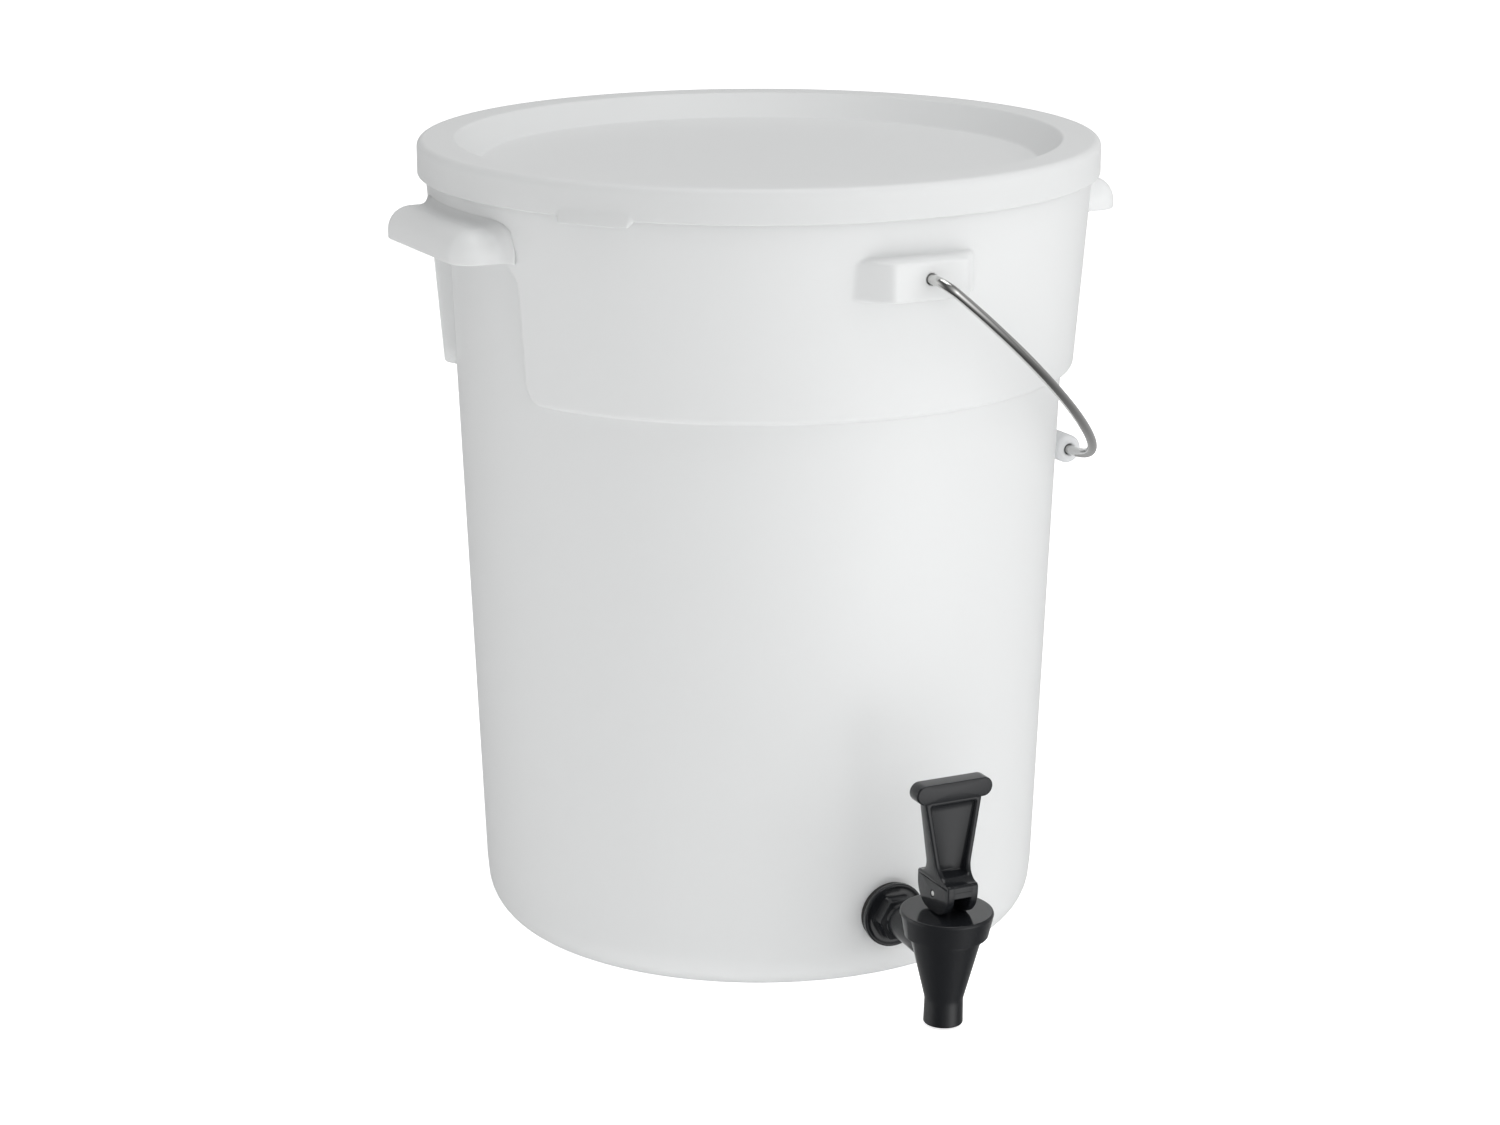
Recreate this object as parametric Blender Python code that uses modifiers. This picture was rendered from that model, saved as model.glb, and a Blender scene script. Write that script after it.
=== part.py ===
"""Round white poly pail with lid, bail, two moulded side handles and a self-closing tap.

Metres, +Z up. Origin at the centre of the base, tap towards -Y, side handles at +X and -X,
bail pivots at +Y and -Y. The tap is modelled in its own leaning frame, whose origin is the
centre of the spout's tip: Z runs up the valve stem and +Y runs back to the wall.
"""
import math

import bmesh
import bpy
from mathutils import Matrix

# Gaps and facets
GAP = 0.0003                  # between pieces that touch
OVERCUT = 0.006               # cutters reach this far past what they cut
BIG_STEPS = 60                # sides of the pail and the lid
TAP_STEPS = 32                # sides of the tap's turned pieces
SMALL_STEPS = 20              # sides of the grip, the stem and the seat cup
POCKET_STEPS = 6              # flats across a finger pocket

# Pail wall
BASE_RADIUS = 0.14059         # wall line carried down to the base
WALL_SLOPE = 0.042            # outward run of the wall for each metre of height
WALL = 0.0032
CORNER_RADIUS = 0.024
RIM_TOP = 0.403               # height of the pail without its lid
RIM_DEPTH = 0.018             # thicker rim, down to the band
RIM_STEP = 0.0008             # how far the rim's top stands out past the band
BAND_DEPTH = 0.1123           # rim's top to the band's lower edge
BAND_STEP = 0.0062            # how far the band stands out at its lower edge
BAND_SLOPE = 0.0815
BAND_EDGE_ROUND = 0.0022

# Side handles
HANDLE_PROJECTION = 0.0185    # outer edge past the band
HANDLE_WIDTH = 0.099
HANDLE_DROP = 0.026           # rim's top to the handle's top
HANDLE_HEIGHT = 0.016         # handle's top to the lower edge of its lip
HANDLE_WALL = 0.0036
HANDLE_CORNER = 0.011
HANDLE_ROUND = 0.0095
POCKET_RELIEF = 0.0003        # pocket floor stands this far off the wall line

# Bail bosses
BOSS_PROJECTION = 0.0137      # front face past the band
BOSS_FRONT_WIDTH = 0.040
BOSS_BACK_WIDTH = 0.064
BOSS_DROP = 0.032             # rim's top to the boss's top
BOSS_HEIGHT = 0.021
BOSS_ROUND = 0.0025

# Lid
LID_CLEARANCE = 0.0013        # skirt round the rim
LID_HEIGHT = 0.017            # from the skirt's lower edge to the top
LID_WALL = 0.0022
LID_ROUND = 0.003
LID_RING_WIDTH = 0.019
LID_DISC_MARGIN = 0.031       # lid's edge to the sunk disc
LID_DISC_DROP = 0.012
TAB_ANGLE = math.radians(-143.5)
TAB_HALF_ANGLE = math.radians(6.4)
TAB_DROP = 0.0028             # below the skirt's lower edge
TAB_FLARE = 0.003
TAB_THICKNESS = 0.0022

# Bail and grip
WIRE_DIAMETER = 0.0048
PIVOT_LIFT = 0.0115           # boss's lower edge to the pivot
PIVOT_CLEARANCE = 0.00035     # round the wire in its boss hole
BAIL_OVERREACH = 0.0175       # grip's middle past the side handle
BAIL_STANDOFF = 0.0125        # wire past the boss's front face
BAIL_INSERT = 0.0105          # wire's end behind the boss's front face
GRIP_MARGIN = 0.003           # straight wire past each end of the grip
BAIL_FULLNESS = 1.6           # exponent of the bow's superellipse
BAIL_BEND = 0.0075
BOW_STEPS = 18                # points on each side of the bow
BEND_STEPS = 4
GRIP_LENGTH = 0.090
GRIP_DIAMETER = 0.0148
GRIP_ROUND = 0.0022
GRIP_CLEARANCE = 0.00035      # round the wire in the grip
GRIP_REST_GAP = 0.0004        # between the hanging grip and the wall

# Tap, heights from the spout's tip
TAP_TABLE_GAP = 0.0008
TAP_REACH = 0.056             # wall to valve stem
TAP_WALL = 0.0032
SPOUT_RADIUS = 0.0096
SPOUT_BORE = 0.0074
SPOUT_LENGTH = 0.0127
CHAMBER_RADIUS = 0.0172
CHAMBER_HEIGHT = 0.0438
COLLAR_HEIGHT = 0.0545
SHANK_HEIGHT = 0.036
SEAT_HEIGHT = 0.023
SEAT_THICKNESS = 0.0025
SEAT_BORE = 0.005
ARM_RADIUS = 0.0085
ARM_CLEARANCE = 0.0004         # arm under the bonnet
FLANGE_RADIUS = 0.0163
FLANGE_THICKNESS = 0.003
NECK_RADIUS = 0.0115
NECK_LENGTH = 0.006
SHANK_RADIUS = 0.008
SHANK_BORE = 0.0055
SHANK_CLEARANCE = 0.0003      # in the wall's hole, the washers and the nut
SHANK_TAIL = 0.004            # past the lock nut
WASHER_RADIUS = 0.0155
WASHER_THICKNESS = 0.0025
NUT_RADIUS = 0.015
NUT_THICKNESS = 0.008

# Tap bonnet
BONNET_BOTTOM = 0.0454
BONNET_TOP = 0.0579
BONNET_LOWER_RADIUS = 0.0203
BONNET_UPPER_RADIUS = 0.0227
BONNET_EDGE = 0.0012
BONNET_CLEARANCE = 0.0004     # skirt round the collar

# Tap valve
STEM_RADIUS = 0.003
STEM_CLEARANCE = 0.0004       # stem in the bonnet's hole and in the seat cup
EYE_RADIUS = 0.0036
EYE_WIDTH = 0.006
CUP_RADIUS = 0.0072
CUP_HEIGHT = 0.0082
CUP_FLOOR = 0.0034
CUP_BEVEL = 0.0012
SPRING_RADIUS = 0.006         # to the middle of the wire
SPRING_WIRE = 0.0008          # wire's radius
SPRING_TURNS = 5
SPRING_STEPS = 12             # points for each turn
PIN_RADIUS = 0.0015
PIN_CLEARANCE = 0.0003

# Tap lever, sizes from its pin
LEVER_FOOT = 0.009            # pin to the flat foot
LEVER_FOOT_GAP = 0.0004       # foot to the bonnet
CAM_LIFT = 0.00382            # stem lift for each radian of tilt
CAM_STEPS = 9
LEVER_BLOCK_WIDTH = 0.0164
LEVER_BLOCK_TOP = 0.008
LEVER_SLOT_WIDTH = 0.0087
LEVER_SLOT_TOP = 0.0016
LEVER_SLOT_CLEARANCE = 0.0007
PADDLE_TOP = 0.0485
PADDLE_LOWER_WIDTH = 0.0165
PADDLE_UPPER_WIDTH = 0.031
PADDLE_LOWER_THICKNESS = 0.0107
PADDLE_UPPER_THICKNESS = 0.0062
PADDLE_BURY = 0.002           # paddle into the block
PADDLE_FLANGE = 0.0026        # margin round the sunk web
WEB_THICKNESS = 0.0026
BAR_HEIGHT = 0.0521           # pin to the middle of the bar
BAR_LENGTH = 0.041
BAR_TALL = 0.0095
BAR_THICK = 0.0085
BAR_ROUND = 0.0038



def body_radius(height):
    """Outer radius of the tapered wall, without the band."""
    return BASE_RADIUS + WALL_SLOPE * height


def band_radius(height):
    """Outer radius of the raised band."""
    return body_radius(BAND_BOTTOM) + BAND_STEP + BAND_SLOPE * (height - BAND_BOTTOM)


# Worked-out sizes
LEAN = math.atan(WALL_SLOPE)
BAND_BOTTOM = RIM_TOP - BAND_DEPTH
BAND_TOP = RIM_TOP - RIM_DEPTH
RIM_RADIUS = band_radius(BAND_TOP) + RIM_STEP
HANDLE_TOP = RIM_TOP - HANDLE_DROP
HANDLE_LIP = HANDLE_TOP - HANDLE_HEIGHT
HANDLE_REACH = band_radius(HANDLE_TOP) + HANDLE_PROJECTION
POCKET_HALF_ANGLE = math.asin(HANDLE_WIDTH / 2 / band_radius(HANDLE_LIP))
BOSS_TOP = RIM_TOP - BOSS_DROP
BOSS_BOTTOM = BOSS_TOP - BOSS_HEIGHT
BOSS_FACE = band_radius(BOSS_BOTTOM) + BOSS_PROJECTION
PIVOT_HEIGHT = BOSS_BOTTOM + PIVOT_LIFT
BAIL_REACH = HANDLE_REACH + BAIL_OVERREACH
BAIL_HALF_WIDTH = BOSS_FACE + BAIL_STANDOFF
BAIL_STRAIGHT = GRIP_LENGTH / 2 + GRIP_MARGIN
BAIL_END = BOSS_FACE - BAIL_INSERT
LID_RADIUS = RIM_RADIUS + LID_CLEARANCE + LID_WALL
LID_DISC_RADIUS = LID_RADIUS - LID_DISC_MARGIN
LID_TOP = RIM_TOP + GAP + LID_WALL
LID_SKIRT_BOTTOM = LID_TOP - LID_HEIGHT
TAP_AXIS_HEIGHT = (TAP_TABLE_GAP + (TAP_REACH + SPOUT_RADIUS) * math.sin(LEAN)
                   + SHANK_HEIGHT * math.cos(LEAN))
PIN_HEIGHT = BONNET_TOP + LEVER_FOOT_GAP + LEVER_FOOT
ARM_ROOT_RADIUS = BONNET_BOTTOM - SHANK_HEIGHT - ARM_CLEARANCE
FLANGE_FACE = TAP_REACH - 2 * GAP - WASHER_THICKNESS

POLY_WHITE = ("poly_white", (0.88, 0.89, 0.89), 0.42, 0.0)
GRIP_WHITE = ("grip_white", (0.84, 0.85, 0.86), 0.35, 0.0)
STEEL = ("stainless", (0.72, 0.72, 0.71), 0.22, 1.0)
TAP_BLACK = ("tap_black", (0.018, 0.018, 0.02), 0.2, 0.0)
RUBBER = ("rubber", (0.05, 0.05, 0.05), 0.75, 0.0)


def arc(centre_r, centre_z, radius, start, end, steps):
    """Points (r, z) along an arc, from the angle start to the angle end in radians."""
    points = []
    for i in range(steps + 1):
        angle = start + (end - start) * i / steps
        points.append((centre_r + radius * math.cos(angle), centre_z + radius * math.sin(angle)))
    return points


def clear_scene():
    for item in list(bpy.data.objects):
        bpy.data.objects.remove(item, do_unlink=True)


def new_collection(name):
    collection = bpy.data.collections.new(name)
    bpy.context.scene.collection.children.link(collection)
    return collection


def make_material(kind, node):
    """A material of the node's own, in one of the finishes above."""
    finish, colour, roughness, metallic = kind
    material = bpy.data.materials.new(node + "_" + finish)
    material.use_nodes = True
    shader = material.node_tree.nodes["Principled BSDF"]
    shader.inputs["Base Color"].default_value = (*colour, 1.0)
    shader.inputs["Roughness"].default_value = roughness
    shader.inputs["Metallic"].default_value = metallic
    return material


class Shop:
    """The two collections that the pieces and their cutters go in."""

    def __init__(self):
        self.pieces = new_collection("fermenting_bucket")
        self.cutters = new_collection("cutters")

    def add(self, name, data, kind=None, parent=None, location=(0, 0, 0), rotation=(0, 0, 0)):
        """A piece when it has a finish, or else a cutter."""
        item = bpy.data.objects.new(name, data)
        item.location = location
        item.rotation_euler = rotation
        item.parent = parent
        if kind:
            self.pieces.objects.link(item)
            item.data.materials.append(make_material(kind, name))
        else:
            self.cutters.objects.link(item)
            item.hide_render = True
            item.display_type = "WIRE"
        return item

    def frame(self, name, location, rotation):
        """An empty that carries the pieces of one moving or leaning group."""
        empty = bpy.data.objects.new(name, None)
        empty.location = location
        empty.rotation_euler = rotation
        self.pieces.objects.link(empty)
        return empty

    def turned(self, name, profile, steps, ring=False, **place):
        """A profile (radius, height) turned about Z; a ring's profile closes on itself."""
        mesh = bpy.data.meshes.new(name)
        count = len(profile)
        edges = [(i, i + 1) for i in range(count - 1)]
        if ring:
            edges.append((count - 1, 0))
        mesh.from_pydata([(r, 0.0, z) for r, z in profile], edges, [])
        item = self.add(name, mesh, **place)
        screw = item.modifiers.new("Turn", "SCREW")
        screw.steps = steps
        screw.render_steps = steps
        screw.use_merge_vertices = True
        screw.merge_threshold = 0.00001
        screw.use_smooth_shade = True
        return item

    def solid(self, name, bm, **place):
        """The mesh in bm as an object, with its faces pointing out."""
        bmesh.ops.recalc_face_normals(bm, faces=bm.faces)
        mesh = bpy.data.meshes.new(name)
        bm.to_mesh(mesh)
        bm.free()
        return self.add(name, mesh, **place)

    def outline(self, name, points, thickness, turn=Matrix(), **place):
        """A flat outline given a thickness about its own plane, then turned by a matrix."""
        curve = bpy.data.curves.new(name + "_curve", "CURVE")
        curve.dimensions = "2D"
        curve.fill_mode = "BOTH"
        curve.extrude = thickness / 2
        spline = curve.splines.new("POLY")
        spline.points.add(len(points) - 1)
        for point, (x, y) in zip(spline.points, points):
            point.co = (x, y, 0.0, 1.0)
        spline.use_cyclic_u = True
        mesh = mesh_of_curve(curve, name)
        mesh.transform(turn)
        return self.add(name, mesh, **place)

    def wire(self, name, points, radius, **place):
        """A round wire along points."""
        curve = bpy.data.curves.new(name + "_curve", "CURVE")
        curve.dimensions = "3D"
        curve.bevel_depth = radius
        curve.bevel_resolution = 2
        curve.use_fill_caps = True
        spline = curve.splines.new("POLY")
        spline.points.add(len(points) - 1)
        for point, place_of_point in zip(spline.points, points):
            point.co = (*place_of_point, 1.0)
        mesh = mesh_of_curve(curve, name)
        return self.add(name, mesh, **place)


def mesh_of_curve(curve, name):
    """The curve's mesh with its caps welded on; the curve itself is removed."""
    guide = bpy.data.objects.new(name + "_guide", curve)
    bpy.context.scene.collection.objects.link(guide)
    depsgraph = bpy.context.evaluated_depsgraph_get()
    mesh = bpy.data.meshes.new_from_object(guide.evaluated_get(depsgraph))
    bpy.data.objects.remove(guide, do_unlink=True)
    bm = bmesh.new()
    bm.from_mesh(mesh)
    bmesh.ops.remove_doubles(bm, verts=bm.verts, dist=0.00001)
    bmesh.ops.recalc_face_normals(bm, faces=bm.faces)
    bm.to_mesh(mesh)
    bm.free()
    mesh.name = name
    return mesh


def combine(item, tool, operation):
    """Cut, join or intersect item with tool."""
    modifier = item.modifiers.new(operation.title() + " " + tool.name, "BOOLEAN")
    modifier.operation = operation
    modifier.solver = "EXACT"
    modifier.object = tool


def box_mesh(low, high):
    """A box between two corners."""
    bm = bmesh.new()
    bmesh.ops.create_cube(bm, size=1.0)
    for vertex in bm.verts:
        for axis in range(3):
            middle = (low[axis] + high[axis]) / 2
            vertex.co[axis] = middle + vertex.co[axis] * (high[axis] - low[axis])
    return bm


def round_edges(bm, chosen, radius, steps):
    """Round the edges for which chosen(start, end) is true."""
    edges = [edge for edge in bm.edges if chosen(edge.verts[0].co, edge.verts[1].co)]
    bmesh.ops.bevel(bm, geom=edges, offset=radius, segments=steps, profile=0.5, affect="EDGES")


def sector_mesh(outline, middle, half_angle, steps):
    """An outline (radius, height) swept about Z through half_angle each side of middle."""
    bm = bmesh.new()
    start = middle - half_angle
    corners = []
    for r, z in outline:
        corners.append(bm.verts.new((r * math.cos(start), r * math.sin(start), z)))
    face = bm.faces.new(corners)
    geometry = list(bm.verts) + list(bm.edges) + [face]
    bmesh.ops.spin(bm, geom=geometry, cent=(0, 0, 0), axis=(0, 0, 1), dvec=(0, 0, 0),
                   angle=2 * half_angle, steps=steps, use_merge=False, use_duplicate=False)
    bmesh.ops.remove_doubles(bm, verts=bm.verts, dist=0.000001)
    return bm


def rod_mesh(radius, start, end, axis, sides):
    """A rod of a given radius along X or Y, between two places on that axis."""
    bm = bmesh.new()
    bmesh.ops.create_cone(bm, cap_ends=True, segments=sides, radius1=radius, radius2=radius,
                          depth=end - start)
    bmesh.ops.translate(bm, verts=bm.verts, vec=(0, 0, (start + end) / 2))
    quarter = math.radians(90)
    turn = Matrix.Rotation(quarter, 4, "Y") if axis == "X" else Matrix.Rotation(-quarter, 4, "X")
    bmesh.ops.transform(bm, verts=bm.verts, matrix=turn)
    return bm


# ---------------------------------------------------------------- pail and lid

def wall_profile(offset):
    """Tapered wall, rounded corner and flat base, offset inwards, down to the axis."""
    radius = CORNER_RADIUS - offset
    centre_r = body_radius(CORNER_RADIUS) - CORNER_RADIUS * math.hypot(1.0, WALL_SLOPE)
    corner = arc(centre_r, CORNER_RADIUS, radius, -LEAN, -math.pi / 2, 5)
    return corner + [(0.0, CORNER_RADIUS - radius)]


def band_profile():
    """Outside of the band and the rim, closed on the axis."""
    step_out = band_radius(BAND_BOTTOM)
    rounded = arc(step_out - BAND_EDGE_ROUND, BAND_BOTTOM + BAND_EDGE_ROUND, BAND_EDGE_ROUND,
                  0.0, -math.pi / 2, 2)
    top = [(0.0, RIM_TOP), (RIM_RADIUS, RIM_TOP), (band_radius(BAND_TOP), BAND_TOP)]
    return top + rounded + [(0.0, BAND_BOTTOM)]


def cavity_profile():
    """Inside of the pail, reaching above the rim."""
    mouth = band_radius(BAND_TOP) - WALL
    shelf = BAND_BOTTOM + WALL
    top = [(0.0, RIM_TOP + OVERCUT), (mouth, RIM_TOP + OVERCUT), (mouth, BAND_TOP)]
    steps = [(band_radius(shelf) - WALL, shelf), (body_radius(shelf) - WALL, shelf)]
    return top + steps + wall_profile(WALL)


def pocket(bottom, top, inset):
    """Outline of the finger pocket under a handle, its inner side along the wall line."""
    beyond = HANDLE_REACH + OVERCUT
    inner = POCKET_RELIEF - inset
    return [(body_radius(bottom) + inner, bottom), (beyond, bottom), (beyond, top),
            (body_radius(top) + inner, top)]


def handle_block(reach, half_width, bottom, top, corner, edge_round):
    """A tongue on +X with round corners in plan and a rounded upper edge."""
    root = body_radius(HANDLE_LIP) - WALL / 2
    bm = box_mesh((root, -half_width, bottom), (reach, half_width, top))
    near = 0.00001
    round_edges(bm, lambda a, b: min(a.x, b.x) > reach - near and abs(a.z - b.z) > near, corner, 4)
    round_edges(bm, lambda a, b: min(a.z, b.z) > top - near and max(a.x, b.x) > root + near,
                edge_round, 3)
    return bm


def make_handle(shop, cavity, band_outside, side, turn):
    """One side handle; returns the cutters of the finger pocket behind it."""
    rotation = (0, 0, turn)
    half_width = HANDLE_WIDTH / 2
    tray_top = HANDLE_TOP - HANDLE_WALL
    block = handle_block(HANDLE_REACH, half_width, HANDLE_LIP, HANDLE_TOP,
                         HANDLE_CORNER, HANDLE_ROUND)
    handle = shop.solid("handle_" + side, block, kind=POLY_WHITE, rotation=rotation)

    inside = handle_block(HANDLE_REACH - HANDLE_WALL, half_width - HANDLE_WALL,
                          HANDLE_LIP - OVERCUT, tray_top,
                          HANDLE_CORNER - HANDLE_WALL, HANDLE_ROUND - HANDLE_WALL)
    guard_low = HANDLE_LIP - 2 * OVERCUT
    guard_in = body_radius(guard_low) - HANDLE_WIDTH / 2
    guard = [(guard_in, guard_low), (body_radius(guard_low) + POCKET_RELIEF, guard_low),
             (body_radius(RIM_TOP) + POCKET_RELIEF, RIM_TOP), (guard_in, RIM_TOP)]
    keep_wall = sector_mesh(guard, 0.0, POCKET_HALF_ANGLE * 1.5, POCKET_STEPS)
    wall_guard = shop.solid("handle_guard_" + side, keep_wall, rotation=rotation)
    hollow = shop.solid("handle_hollow_" + side, inside, rotation=rotation)
    combine(hollow, wall_guard, "DIFFERENCE")
    combine(handle, band_outside, "DIFFERENCE")
    combine(handle, hollow, "DIFFERENCE")

    lower = sector_mesh(pocket(BAND_BOTTOM - OVERCUT / 2, HANDLE_LIP, 0.0), 0.0,
                        POCKET_HALF_ANGLE, POCKET_STEPS)
    lower_pocket = shop.solid("handle_pocket_" + side, lower, rotation=rotation)

    wall_angle = WALL / body_radius(HANDLE_LIP)
    backing = sector_mesh(pocket(BAND_BOTTOM - OVERCUT, tray_top + WALL, WALL), 0.0,
                          POCKET_HALF_ANGLE + wall_angle, POCKET_STEPS)
    backing_wall = shop.solid("handle_backing_" + side, backing, rotation=rotation)
    combine(cavity, backing_wall, "DIFFERENCE")
    return [hollow, lower_pocket]


def add_boss(shop, band, side, turn):
    """Join one bail boss to the band; returns the cutter of its blind hole."""
    half_front = BOSS_FRONT_WIDTH / 2
    half_back = BOSS_BACK_WIDTH / 2
    surface = math.sqrt(band_radius(BOSS_BOTTOM) ** 2 - half_back ** 2)
    root = surface - WALL / 2
    plan = [(-half_front, -BOSS_FACE), (half_front, -BOSS_FACE), (half_back, -surface),
            (half_back, -root), (-half_back, -root), (-half_back, -surface)]
    middle = (BOSS_TOP + BOSS_BOTTOM) / 2
    boss = shop.outline("boss_block_" + side, plan, BOSS_TOP - BOSS_BOTTOM,
                        location=(0, 0, middle), rotation=(0, 0, turn))
    bevel = boss.modifiers.new("Round", "BEVEL")
    bevel.width = BOSS_ROUND
    bevel.segments = 2
    bevel.limit_method = "ANGLE"
    combine(band, boss, "UNION")

    hole = rod_mesh(WIRE_DIAMETER / 2 + PIVOT_CLEARANCE, -BOSS_FACE - OVERCUT,
                    -BAIL_END + PIVOT_CLEARANCE, "Y", 12)
    return shop.solid("boss_hole_" + side, hole, location=(0, 0, PIVOT_HEIGHT),
                      rotation=(0, 0, turn))


def make_bucket(shop, tap_frame):
    """Lower wall and floor, then the band and rim with the side handles and the bosses."""
    seam = BAND_BOTTOM - GAP
    outside = [(0.0, seam), (body_radius(seam), seam)] + wall_profile(0.0)
    bucket = shop.turned("bucket", outside, BIG_STEPS, kind=POLY_WHITE)
    band = shop.turned("bucket_band", band_profile(), BIG_STEPS, kind=POLY_WHITE)
    cavity = shop.turned("cavity", cavity_profile(), BIG_STEPS)
    low = HANDLE_LIP - OVERCUT
    clear = [(0.0, RIM_TOP), (band_radius(RIM_TOP) + GAP, RIM_TOP), (band_radius(low) + GAP, low),
             (0.0, low)]
    band_outside = shop.turned("band_outside", clear, BIG_STEPS)

    cuts = make_handle(shop, cavity, band_outside, "right", 0.0)
    cuts += make_handle(shop, cavity, band_outside, "left", math.pi)
    cuts.append(add_boss(shop, band, "front", 0.0))
    cuts.append(add_boss(shop, band, "back", math.pi))
    for cutter in [cavity] + cuts:
        combine(band, cutter, "DIFFERENCE")

    tap_hole = rod_mesh(SHANK_RADIUS + SHANK_CLEARANCE, TAP_REACH - OVERCUT,
                        TAP_REACH + WALL + OVERCUT, "Y", 24)
    hole = shop.solid("tap_hole", tap_hole, parent=tap_frame, location=(0, 0, SHANK_HEIGHT))
    for cutter in [cavity, hole]:
        combine(bucket, cutter, "DIFFERENCE")


def make_lid(shop):
    """Skirt, top ring, sunk disc and thumb tab."""
    disc_top = LID_TOP - LID_DISC_DROP
    ring_inner = LID_RADIUS - LID_RING_WIDTH
    slope_angle = math.atan2(LID_DISC_DROP, ring_inner - LID_DISC_RADIUS)
    shift = LID_WALL * math.tan(slope_angle / 2)
    top = [(0.0, disc_top), (LID_DISC_RADIUS, disc_top), (ring_inner, LID_TOP)]
    edge = arc(LID_RADIUS - LID_ROUND, LID_TOP - LID_ROUND, LID_ROUND, math.pi / 2, 0.0, 3)
    inside = LID_RADIUS - LID_WALL
    skirt = [(LID_RADIUS, LID_SKIRT_BOTTOM), (inside, LID_SKIRT_BOTTOM)]
    under = [(inside, LID_TOP - LID_WALL), (ring_inner + shift, LID_TOP - LID_WALL),
             (LID_DISC_RADIUS + shift, disc_top - LID_WALL), (0.0, disc_top - LID_WALL)]
    lid = shop.turned("lid", top + edge + skirt + under, BIG_STEPS, kind=POLY_WHITE)

    bury = LID_WALL / 4
    root = LID_SKIRT_BOTTOM + TAB_FLARE * 2
    tip = LID_SKIRT_BOTTOM - TAB_DROP
    tab = sector_mesh([(inside + bury, root), (LID_RADIUS - bury, root),
                       (LID_RADIUS + TAB_FLARE, tip), (LID_RADIUS + TAB_FLARE - TAB_THICKNESS, tip)],
                      TAB_ANGLE, TAB_HALF_ANGLE, 4)
    combine(lid, shop.solid("thumb_tab", tab), "UNION")


# ---------------------------------------------------------------- bail

def bail_rest_angle():
    """Angle below level at which the hanging grip comes to the wall."""
    stand_off = (GRIP_DIAMETER / 2 + GRIP_REST_GAP) * math.hypot(1.0, WALL_SLOPE)
    needed = body_radius(PIVOT_HEIGHT) + stand_off
    return math.acos(needed / (BAIL_REACH * math.hypot(1.0, WALL_SLOPE))) + LEAN


def bow_point(angle):
    """Point (reach, side) of the bow's superellipse on its positive side."""
    power = 2.0 / BAIL_FULLNESS
    reach = BAIL_REACH * math.cos(angle) ** power
    side = BAIL_STRAIGHT + (BAIL_HALF_WIDTH - BAIL_STRAIGHT) * math.sin(angle) ** power
    return reach, side


def bail_half():
    """Points from the end of the straight middle to the end of the wire in the boss."""
    last = math.acos((BAIL_BEND / BAIL_REACH) ** (BAIL_FULLNESS / 2.0))
    points = [bow_point(last * i / BOW_STEPS) for i in range(BOW_STEPS + 1)]
    reach, side = points[-1]
    for i in range(1, BEND_STEPS + 1):
        angle = math.pi / 2 * i / BEND_STEPS
        points.append((reach - BAIL_BEND * math.sin(angle),
                       side - BAIL_BEND * (1 - math.cos(angle))))
    points.append((0.0, BAIL_END))
    return points


def make_bail(shop, pivot):
    """Bent wire, lying in the pivot frame's XY plane with the pivot axis along Y."""
    half = bail_half()
    points = [(reach, -side, 0.0) for reach, side in reversed(half)]
    points += [(reach, side, 0.0) for reach, side in half]
    wire = shop.wire("bail_wire", points, WIRE_DIAMETER / 2, kind=STEEL, parent=pivot)
    wire.data.shade_smooth()


def make_grip(shop, pivot):
    """Roller on the straight middle of the bail."""
    outer = GRIP_DIAMETER / 2
    bore = WIRE_DIAMETER / 2 + GRIP_CLEARANCE
    half = GRIP_LENGTH / 2
    upper = arc(outer - GRIP_ROUND, half - GRIP_ROUND, GRIP_ROUND, math.pi / 2, 0.0, 2)
    lower = arc(outer - GRIP_ROUND, GRIP_ROUND - half, GRIP_ROUND, 0.0, -math.pi / 2, 2)
    profile = [(bore, half)] + upper + lower + [(bore, -half)]
    shop.turned("bail_grip", profile, SMALL_STEPS, ring=True, kind=GRIP_WHITE, parent=pivot,
                location=(BAIL_REACH, 0, 0), rotation=(math.radians(90), 0, 0))


# ---------------------------------------------------------------- tap

def chamber_radius(height):
    """Outer radius of the tapered valve chamber."""
    share = (height - SPOUT_LENGTH) / (CHAMBER_HEIGHT - SPOUT_LENGTH)
    return SPOUT_RADIUS + (CHAMBER_RADIUS - SPOUT_RADIUS) * share


def washer_sag():
    """How far the pail's wall curves away at the edge of a washer."""
    radius = body_radius(TAP_AXIS_HEIGHT)
    return radius - math.sqrt(radius ** 2 - WASHER_RADIUS ** 2)


def inner_washer_face():
    """Flat inner face of the inner washer, from the valve stem."""
    return TAP_REACH + WALL + GAP + washer_sag() + WASHER_THICKNESS


def shank_end():
    return inner_washer_face() + GAP + NUT_THICKNESS + SHANK_TAIL


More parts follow.
